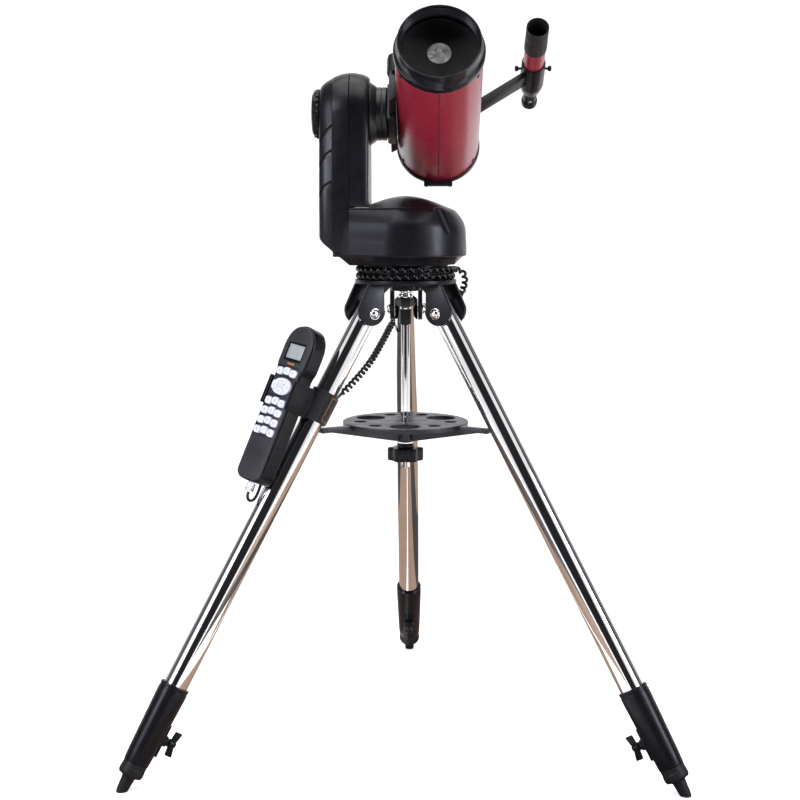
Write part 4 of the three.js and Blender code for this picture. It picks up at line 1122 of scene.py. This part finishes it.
def make_front_cell():
    profile = [
        (55.8, 139), (56.8, 139.4), (57.5, 141), (57.7, 143), (57.7, 147.6), (57, 149.6), (55.2, 151.6),
        (54.1, 153.6), (53.4, 156), (53.1, 161), (52.9, 167.2), (52.3, 168.4), (51.4, 168.4), (50.6, 167.2),
        (50.4, 163.4), (49.7, 163), (49.5, 160.4), (48.7, 160), (48.5, 157.4), (47.5, 157), (47, 155),
        (47, 152), (51.3, 152), (51.3, 139.8), (53.6, 139.8), (53.6, 148.5), (55.8, 148.5),
    ]
    part("front_cell", "front_ring", [ring(profile, 0.45, 192)], SCOPE, GLOSS_BLACK, 40)


def bowl(middle, rise, rim, reach):
    """Points every 3 mm across a curved face that rises from its middle to its rim."""
    return [(r, middle + rise * (r / rim) ** 2) for r in range(0, reach, 3)]


def make_corrector():
    """Deeply curved meniscus, thicker at its rim, and the mirror spot behind it."""
    rim = [(50.9, 148.1), (50.9, 151.7), (46.5, 151.7)]
    lens = bowl(140.1, 8, 51, 51) + rim + bowl(144.7, 5.8, 46, 46)[::-1]
    part("corrector_lens", "meniscus", [lathe(lens, 128)], SCOPE, sharp=50)
    spot = bowl(139.5, 8, 51, 16) + bowl(139.95, 8, 51, 16)[::-1]
    detail("corrector_lens", "secondary_spot", [lathe(spot, 96)], SCOPE, MIRROR, "mirror", 50)


def make_rear_cell():
    profile = [
        (15.95, -107), (20.6, -107), (22, -106), (22, -104.6), (21.2, -104), (22, -103.4), (22, -102.2),
        (21.2, -101.6), (22, -101), (22, -96.5), (23, -94.4), (49, REAR_PLATE), (54.5, -90.5), (57, -87),
        (57, REAR_RING), (55.8, REAR_RING), (55.8, -84.3), (54, -84.3), (54, -86), (15.95, -86),
    ]
    hollow = arc(55.9, math.radians(-70), math.radians(-110), 20)
    tab = [(19.5, -61.5), (19.5, -52.6), *hollow, (-19.5, -52.6), (-19.5, -61.5)]
    shapes = [ring(profile, 0.5, 192), plate([tab], -86.5, -80, 0.7, 2)]
    stud = turned([(0, 0), (2.2, 0), (2.2, 1.4), (1.4, 1.9), (0, 1.9)], 0.3, 24)
    for x in (-16.2, 16.2):
        shapes.append(moved(stud, shift(x, -61.2, -83.2) @ turn(90, "X")))
    part("rear_cell", "rear_casting", shapes, SCOPE, sharp=40)


def make_tube_screws():
    """Three pan-head screws behind the front ring and three ahead of the rear one."""
    head = turned([(0, -0.6), (2.7, -0.6), (2.7, 0.5), (1.9, 1.5), (0, 1.9)], 0.3, 32)
    shapes = []
    for along in (133.6, -74.2):
        for around in (-150, -30, 90):
            lay = turn(around, "Z") @ shift(TUBE_RADIUS, 0, along) @ turn(90, "Y")
            shapes.append(moved(head, lay))
    detail("rear_cell", "tube_screws", shapes, SCOPE, GLOSS_BLACK, "black_metal")


def make_dovetail():
    """The saddle with its two hooked lips and the bar that they grip, as seen along the tube."""
    saddle = [(0, 25), (2, 27), (10.6, 27), (10.6, 17), (3.6, 21.3)]
    bar = [(3.9, 20.9), (11.8, 16)]
    place = SCOPE @ shift(SADDLE_BACK, 0, 0)
    part("saddle", "dovetail_saddle", [plate([mirrored(saddle)], -32, 32, 0.9, 3)], place)
    part("dovetail_bar", "dovetail_rail", [plate([mirrored(bar)], -66, 66, 0.5, 2)], place)


def make_saddle_knob():
    def waved(angle, r, height):
        if r < 8 or not 63 < height < 90:
            return r
        return r - 0.45 * (1 - math.cos(8 * angle)) / 2

    profile = rounded([
        (0, 21.2), (3, 21.2), (3, 32), (5.6, 32.6), (5.9, 45), (6.2, 57), (8.6, 61.6), (9, 64), (9, 84),
        (7.6, 90), (4, 93), (0, 93.4),
    ], 1.2)
    place = SCOPE @ shift(SADDLE_BACK + 7, 0, 0) @ turn(-90, "X")
    part("saddle_knob", "saddle_paddle", [lathe(profile, 96, radius_at=waved)], place, sharp=50)


make_tube()
make_front_cell()
make_corrector()
part("primary_mirror", "main_mirror", [ring([
    (17, -64), (50, -66), (50, -53), (42, -55), (34, -56.6), (25, -57.6), (17, -58),
], 0.4, 128)], SCOPE)
part("baffle_tube", "baffle_cone", [ring([
    (14.2, -85.6), (21, -85.6), (21, -82.5), (16, -82.5), (16, -40), (13, 38), (12.2, 38), (14.2, -40),
], 0.2, 96)], SCOPE, MATT_BLACK)
make_rear_cell()
make_tube_screws()
part("focus_knob", "focus_grip", [
    plate([lobed(9.5, 0.9, 14, 140)], -112, -96, 0.8, 3), rod(7, -98, -94.3, 0.3), rod(3, -96, -68, 0.3, 24),
], SCOPE @ shift(30, 22, 0))
make_dovetail()
make_saddle_knob()

# ---------------------------------------------------------------- finder


def make_finder_bracket():
    """A long sleeve with a tapered tail, on a flat stalk that rises from its shoe on the tube."""
    collar = ring([(11.05, -112), (11.05, -116), (12, -116), (12.9, -115), (16.2, -101), (16.9, -97),
                   (16.9, -60), (16.7, -50), (16.5, -47), (15.1, -47), (15.1, -98)], 0.35, 96)
    centre = shift(FINDER_SIDE, FINDER_UP, 0)
    stalk, shoe = centre @ turn(35, "Z"), turn(47, "Z")
    shapes = [
        moved(collar, centre),
        moved(block(-110, -15.8, -5, 5, -86, -64, 1.2), stalk),
        moved(block(-108, -17, -5, -3.2, -64.3, -63.2, 0.5), stalk),
        moved(block(57.5, 66.5, -10, 10, -104, -58, 1.4), shoe),
        moved(block(56.4, 58.5, -10, 10, -79, -58, 0.5), shoe),
        moved(block(65, 69, -4, 4, -100, -62, 1.2), shoe),
    ]
    screw = turned([
        (0, 15.6), (1.6, 15.6), (1.6, 20), (2.6, 20.4), (4, 22), (4, 24.6), (3.2, 25.5), (0, 25.5),
    ], 0.4, 48)
    for side in (90, -90):
        shapes.append(moved(screw, centre @ shift(0, 0, -62) @ turn(side, "Y")))
    part("finder_bracket", "finder_bracket_arm", shapes, SCOPE, sharp=40)


def make_finder():
    barrel = [(0, -92), (14.4, -92), (14.6, -91), (14.6, -14.05), (0, -14.05)]
    part("finder_tube", "finder_barrel", [turned(barrel, 0.4, 96)], FINDER)
    hood = ring([(13.4, -13.8), (14.8, -13.8), (15.4, -12.4), (15.5, -11), (15.5, 5.6), (15.2, 6.4),
                 (15.2, 35.6), (14.9, 36), (14.5, 36), (14.5, 6), (13.4, 6)], 0.2, 96)
    rear = turned([(0, -151), (10.2, -151), (11.4, -149.6), (11.4, -141.4), (10.9, -140), (9.8, -139),
                   (9.8, -108), (14.2, -92.6), (14.2, -92.05), (0, -92.05)], 0.6, 96)
    front = [(r, 9.2 - 1.8 * (r / 14.3) ** 2) for r in range(13, -1, -3)]
    lens = lathe([(0, 3.2), (14.3, 5.6), (14.3, 7.4), *front], 64)
    lock = turned([(0, 9.4), (2.6, 9.4), (2.6, 10.4), (1.8, 11), (0, 11)], 0.25, 32)
    lock = moved(lock, shift(0, 0, -133) @ turn(90, "X"))
    keyway = moved(block(-2, 2, -8, 8, 9.2, 10.05, 0.4), shift(0, 0, -122) @ turn(90, "X"))
    for name, shape, finish, slot in (
        ("hood", hood, MATT_BLACK, "black_metal"), ("eyepiece", rear, BLACK_PLASTIC, "black_plastic"),
        ("lens", lens, GLASS, "glass"), ("lock_screw", lock, STEEL, "steel"),
        ("keyway", keyway, MATT_BLACK, "black_metal"),
    ):
        detail("finder_tube", f"finder_{name}", [shape], FINDER, finish, slot)


make_finder_bracket()
make_finder()

# ---------------------------------------------------------------- hand controller

FLAP = (math.radians(92), math.radians(166))  # the strap's flap, round the leg from its outer side
STRAP_LOW = -162
STRAP_HIGH = -120
HALF_LENGTH = 103
HALF_WIDTH = 24.5
HEAD_REACH = 111  # top of the rounded head
FACE = 13.5
KEY_TOP = FACE + 2.4
KEY_FLOOR = FACE - 2.8
WEB = 0.8
MAT_FLOOR = KEY_FLOOR + WEB + 0.3
KEY_ROWS = [5, -8.5, -22, -35.5]
KEY_COLUMNS = [-13, 0, 13]
FACE_ON = Matrix(((0, 0, 1, 0), (1, 0, 0, 0), (0, 1, 0, 0), (0, 0, 0, 1)))  # (y, z, out) to (x, y, z)


def face_plate(outlines, x0, x1, edge=0.5, steps=2):
    return moved(plate(outlines, x0, x1, edge, steps), FACE_ON)


def handset_outline(inset):
    """The handset from its face, as (y, z): its foot, its right side and that side mirrored."""
    top, bottom = HEAD_REACH - inset, inset - HALF_LENGTH
    foot, wide, waist, head = 17 - inset, HALF_WIDTH - inset, 23.5 - inset, 27 - inset
    corner = (wide, 14 - HALF_LENGTH)
    side = bezier((foot, bottom), (22 - inset, bottom + 1), (wide, 7 - HALF_LENGTH), corner)
    side += bezier(corner, (wide, 0), (waist, 20), (waist, 42))
    side += bezier((waist, 42), (waist, 50), (head, 50), (head, 60))
    side += [(head, 80), *bezier((head, 80), (26 - inset, 101), (13, top), (0, top), 14)]
    base = bezier((-foot, bottom), (-8, bottom - 1.4), (8, bottom - 1.4), (foot, bottom))
    return base + side + [(-y, z) for y, z in side[-2::-1]] + [(-foot, bottom)]


def super_oval(y, z, half_width, half_height, count=40, power=0.62):
    def squared(share):
        return math.copysign(abs(share) ** power, share)

    return [(y + half_width * squared(c), z + half_height * squared(s)) for c, s in circle(1, count)]


def box(y0, y1, z0, z1):
    return [(y0, z0), (y1, z0), (y1, z1), (y0, z1)]


def wide_box(y, z, z_top):
    return corner_rounded(box(-y, y, z, z_top), 3.5)


def make_handset():
    shell = build("handset_shell", [face_plate([handset_outline(0)], -FACE, FACE - 2.8, 3.2, 5)], HANDSET)
    face = build("handset_face", [face_plate([handset_outline(2.0)], FACE - 4.5, FACE, 1.3, 4)], HANDSET)
    wells = [
        [wide_box(20.5, 38.2, 53.2)], [ellipse(19.2, 11.8, 64, 0, 25.3)], [wide_box(20.5, -43.2, 12.3)],
        [corner_rounded(box(-17, 17, 60, 86), 1.6)],
    ]
    depths = [KEY_FLOOR, KEY_FLOOR, KEY_FLOOR, FACE - 1.5]
    for piece in (shell, face):
        tools = [tool(face_plate(well, depth, 20, 0.2, 1), HANDSET) for well, depth in zip(wells, depths)]
        jack = tool(rod(4.4, -120, -HALF_LENGTH + 9, 0, 32), HANDSET)
        combine(piece, "DIFFERENCE", *tools, jack)
    stands_for(face, "handset_body", GREY_PLASTIC)
    goes_with(shell, "handset_body", SOFT_BLACK)
    pane = corner_rounded(box(-14.6, 14.6, 64, 83.4), 0.8)
    display = face_plate([pane], FACE - 1.5, FACE - 0.9, 0.15, 1)
    detail("handset_body", "handset_display", [display], HANDSET, DISPLAY, "glass")
    rim = [wide_box(16.9, 60.1, 85.9), box(-14.7, 14.7, 63.9, 83.5)[::-1]]
    rim = face_plate(rim, FACE - 1.45, FACE - 0.3, 0.25, 2)
    detail("handset_body", "display_frame", [rim], HANDSET, GLOSS_BLACK, "black_plastic")
    label = face_plate([corner_rounded(box(-6, 7, 55.4, 58.2), 0.5)], FACE - 0.3, FACE + 0.12, 0.1, 1)
    detail("handset_body", "handset_label", [label], HANDSET, LABEL, "grey_plastic")
    ribs = []
    for i in range(7):
        z = 89.4 + i * 2.3
        half = 21 * math.sqrt(max(1 - ((z - 78) / 31) ** 2, 0))
        ribs.append(block(FACE - 0.6, FACE + 0.5, -half, half, z, z + 0.9, 0.35, 2))
    detail("handset_body", "handset_ribs", ribs, HANDSET, GREY_PLASTIC, "grey_plastic")


def key_shape(y, z, half_width, half_height):
    """A key with a domed top: shrinking outlines over a straight side."""
    rows = [(0, MAT_FLOOR + 0.6), (0, KEY_TOP - 1.1), (0.25, KEY_TOP - 0.5), (0.7, KEY_TOP - 0.15),
            (1.5, KEY_TOP)]
    sections = [(super_oval(y, z, half_width - inset, half_height - inset), height) for inset, height in rows]
    return moved(loft(sections), FACE_ON)


def key_mark(y, z, kind):
    """A small raised figure, one of four plain patterns of bars and dots."""
    bars = [
        [(-1.6, -0.4, 1.6, 0.4)], [(-0.4, -1.6, 0.4, 1.6)], [(-1.8, -0.4, -0.4, 0.4), (0.6, -0.4, 1.8, 0.4)],
        [(-1.5, 0.5, 1.5, 1.1), (-1.5, -1.1, 1.5, -0.5)],
    ][kind % 4]
    low, high = KEY_TOP - 0.3, KEY_TOP + 0.06
    return [block(low, high, y + a, y + c, z + b, z + d, 0.12, 1) for a, b, c, d in bars]


def make_keys():
    mats = {"function_keys": ([46.4], (38.6, 52.8)), "number_keys": (KEY_ROWS, (-42.8, 11.9))}
    for node, (rows, (low, high)) in mats.items():
        web = face_plate([wide_box(20.1, low, high)], MAT_FLOOR, MAT_FLOOR + WEB, 0.2, 1)
        part(node, f"{node}_web", [web], HANDSET, GREY_PLASTIC, sharp=40)
        keys, marks = [], []
        for i, row in enumerate(rows):
            for j, column in enumerate(KEY_COLUMNS):
                z = row - abs(column) * 0.12
                keys.append(key_shape(column, z, 6.1, 5.0))
                marks += key_mark(column, z, 3 * i + j)
        detail(node, f"{node}_caps", keys, HANDSET, SILICONE, "silicone", sharp=40)
        detail(node, f"{node}_marks", marks, HANDSET, MATT_BLACK, "silicone")
    pad = [face_plate([ellipse(18.7, 11.3, 72, 0, 25.3)], MAT_FLOOR, KEY_TOP - 1.6, 0.6, 3)]
    spots = ((0, 32.0, 6.4, 4.2), (0, 18.6, 6.4, 4.2), (-12.4, 25.3, 5.4, 6.2), (12.4, 25.3, 5.4, 6.2),
             (0, 25.3, 4.4, 2.6))
    marks = []
    for i, (y, z, half_y, half_z) in enumerate(spots):
        pad.append(key_shape(y, z, half_y, half_z))
        marks += key_mark(y, z, i // 2)
    part("arrow_pad", "arrow_pad_mat", pad, HANDSET, sharp=40)
    detail("arrow_pad", "arrow_pad_marks", marks, HANDSET, MATT_BLACK, "silicone")


def make_holder():
    back = -FACE - 0.3
    side = HALF_WIDTH + 0.3
    lip = FACE + 0.4
    outline = mirrored([
        (back - 3, -side - 2.6), (lip + 1.6, -side - 2.6), (lip + 1.6, 3 - side), (lip, 3 - side),
        (lip, -side), (back, -side),
    ])
    clip = build("spring_clip", [plate([corner_rounded(outline, 1.0, 3)], -2, 37, 0.7, 3)], HANDSET)
    pad = tool(block(back - 18, back - 2.5, -14, 20, -2, 36, 1.0), HANDSET)
    combine(clip, "UNION", pad)
    leg = moved(rod(18.5, -300, 300, 0, 128), HANDSET_TURN.inverted() @ shift(-HANDSET_OUT, 0, 0))
    return combine(clip, "DIFFERENCE", tool(leg, HANDSET))


def make_strap():
    """Webbing round the leg with a free flap on the front, sewn in orange thread."""
    band = pipe(18.1, 16.25, STRAP_LOW, STRAP_HIGH, 0.5, 128)
    start, end = FLAP
    outline = arc(18.2, start, end, 16) + arc(19.7, end, start, 16)
    flap = plate([outline], STRAP_LOW + 1.5, STRAP_HIGH - 1.5, 0.5, 2)
    low, high = STRAP_LOW + 4.5, STRAP_HIGH - 4.5
    left, right = (start + (end - start) * share for share in (0.12, 0.88))
    rows = [
        [(left + (right - left) * (i + share) / 9, z) for share in (0.2, 0.5, 0.8)]
        for z in (high, low) for i in range(9)
    ]
    columns = [
        [(a, low + (high - low) * (i + 0.2) / 11 + step) for step in (0, 0.9, 1.8)]
        for a in (left, right) for i in range(11)
    ]
    stitches = [
        tube([Vector((*polar(19.75, a), z)) for a, z in stitch], 0.45, 6) for stitch in rows + columns
    ]
    part("holder_strap", "leg_strap", [band, flap], LEG["left"])
    detail("holder_strap", "strap_stitches", stitches, LEG["left"], THREAD, "fabric")


def make_plug():
    bottom = -HALF_LENGTH
    return [
        block(-3.6, 3.6, -5, 5, bottom - 13, bottom - 2, 0.9),
        block(3.4, 4.2, -2.2, 2.2, bottom - 12, bottom + 2, 0.3), rod(3.9, bottom - 3, bottom + 8, 0.4, 40),
    ]


make_handset()
make_keys()
stands_for(make_holder(), "handset_holder")
make_strap()
plug = part("handset_plug", "cord_plug", make_plug(), HANDSET)

# ---------------------------------------------------------------- inner pieces

for name, node in frame["nodes"].items():
    if not node.hide_render:
        dress(node, SLOT_FINISH[SLOT_OF[name]])

# ---------------------------------------------------------------- studio

CARD_LIFT = 0.002  # of the cards above the floor
CARD_BACK = 1.5
BACKDROP_GLOW = 1.15
PAPER_GLOW = 0.62


def make_world():
    """A pale studio all round, with a few darker, warmer walls for the chrome to show."""
    world = bpy.data.worlds.new("studio")
    world.use_nodes = True
    bpy.context.scene.world = world
    sky = Graph(world.node_tree)
    split = sky.node("ShaderNodeSeparateXYZ")
    sky.join(sky.node("ShaderNodeTexCoord").outputs["Generated"], split.inputs["Vector"])
    around = sky.node("ShaderNodeMath", operation="ARCTAN2")
    sky.join(split.outputs["X"], around.inputs[0])
    sky.join(split.outputs["Y"], around.inputs[1])
    share = sky.spread(around.outputs[0], 0, 1, -math.pi, math.pi)
    white, dark, grey = (0.92, 0.92, 0.96), (0.02, 0.019, 0.022), (0.2, 0.19, 0.2)
    walls = sky.colour(
        share, (0.0, dark), (0.085, dark), (0.11, white), (0.2, white), (0.225, dark), (0.3, grey),
        (0.4, grey), (0.44, white), (0.56, white), (0.6, grey), (0.7, grey), (0.775, dark), (0.8, white),
        (0.89, white), (0.915, dark), (1.0, dark),
    )
    sky.tree.nodes[-1].color_ramp.interpolation = "EASE"
    backdrop = sky.node("ShaderNodeRGB")
    backdrop.outputs[0].default_value = (BACKDROP_GLOW, BACKDROP_GLOW, BACKDROP_GLOW, 1)
    seen = sky.node("ShaderNodeLightPath").outputs["Is Camera Ray"]
    shown = sky.mixed(seen, walls, backdrop.outputs[0])
    sky.join(shown, sky.tree.nodes["Background"].inputs["Color"])


def make_light(name, place, aim_z, size, power, colour=(1, 1, 1)):
    """A soft box turned to a height on the azimuth axis."""
    data = bpy.data.lights.new(name, "AREA")
    data.shape = "RECTANGLE"
    data.size, data.size_y = size
    data.energy = power
    data.color = colour
    light = bpy.data.objects.new(name, data)
    light.location = place
    aim = Vector((0, AXIS_Y, aim_z)) - Vector(place)
    light.rotation_euler = aim.to_track_quat("-Z", "Y").to_euler()
    bpy.context.scene.collection.objects.link(light)


def make_floor():
    """White paper that rises into a wall far behind, glowing faintly so that it has no horizon."""
    reach, back, radius = 6, 5, 3
    profile = [(-reach, 0.0), *arc(radius, -math.pi / 2, 0, 24, back, radius), (back + radius, reach)]
    vertices = [(x, y, z) for y, z in profile for x in (-2 * reach, 2 * reach)]
    faces = [(2 * i, 2 * i + 1, 2 * i + 3, 2 * i + 2) for i in range(len(profile) - 1)]
    mesh = bpy.data.meshes.new("floor")
    mesh.from_pydata(vertices, [], faces)
    floor = link("studio_floor", mesh)
    paper = Finish("floor_paper", Emission_Strength=PAPER_GLOW)
    fibre = paper.colour(paper.noise(60, 3), (0.3, (0.88, 0.88, 0.88)), (0.7, (0.9, 0.9, 0.9)))
    paper.paint(fibre)
    paper.join(fibre, paper.shader.inputs["Emission Color"])
    paper.rough(paper.spread(paper.noise(90, 3), 0.8, 0.9))
    dress(floor, paper.material)


def floor_card(name, x0, x1, front, finish):
    """A sheet on the floor that only mirrors see, to put a band into the plated legs."""
    mesh = bpy.data.meshes.new(name)
    corners = ((x0, front), (x1, front), (x1, CARD_BACK), (x0, CARD_BACK))
    mesh.from_pydata([(x, y, CARD_LIFT) for x, y in corners], [], [(0, 1, 2, 3)])
    card = link(name, mesh)
    dress(card, finish)
    for ray in ("camera", "shadow", "diffuse", "transmission"):
        setattr(card, "visible_" + ray, False)


make_world()
make_floor()
tan = plastic("tan_card", (0.34, 0.225, 0.15), (0.4, 0.27, 0.185), 0.7, 0.8)
dark = plastic("dark_card", (0.035, 0.028, 0.025), (0.05, 0.042, 0.038), 0.7, 0.8)
floor_card("back_leg_card", -0.012, 0.16, -0.25, tan)
floor_card("right_near_card", 0.16, 0.42, -1.5, dark)
floor_card("right_far_card", 0.42, 1.1, -1.5, tan)
floor_card("left_near_card", -0.45, -0.045, -1.5, tan)
floor_card("left_far_card", -1.4, -0.45, -1.5, dark)
bpy.context.scene.view_settings.view_transform = "Standard"
make_light("overhead", (0.0, -0.3, 2.6), 0.6, (2.2, 2.2), 42)
make_light("front_left", (-1.9, -1.6, 1.5), 0.7, (0.6, 1.3), 38, (0.8, 0.84, 1.0))
make_light("front_right", (2.1, -1.2, 1.2), 0.7, (0.6, 1.3), 34, (0.82, 0.85, 1.0))
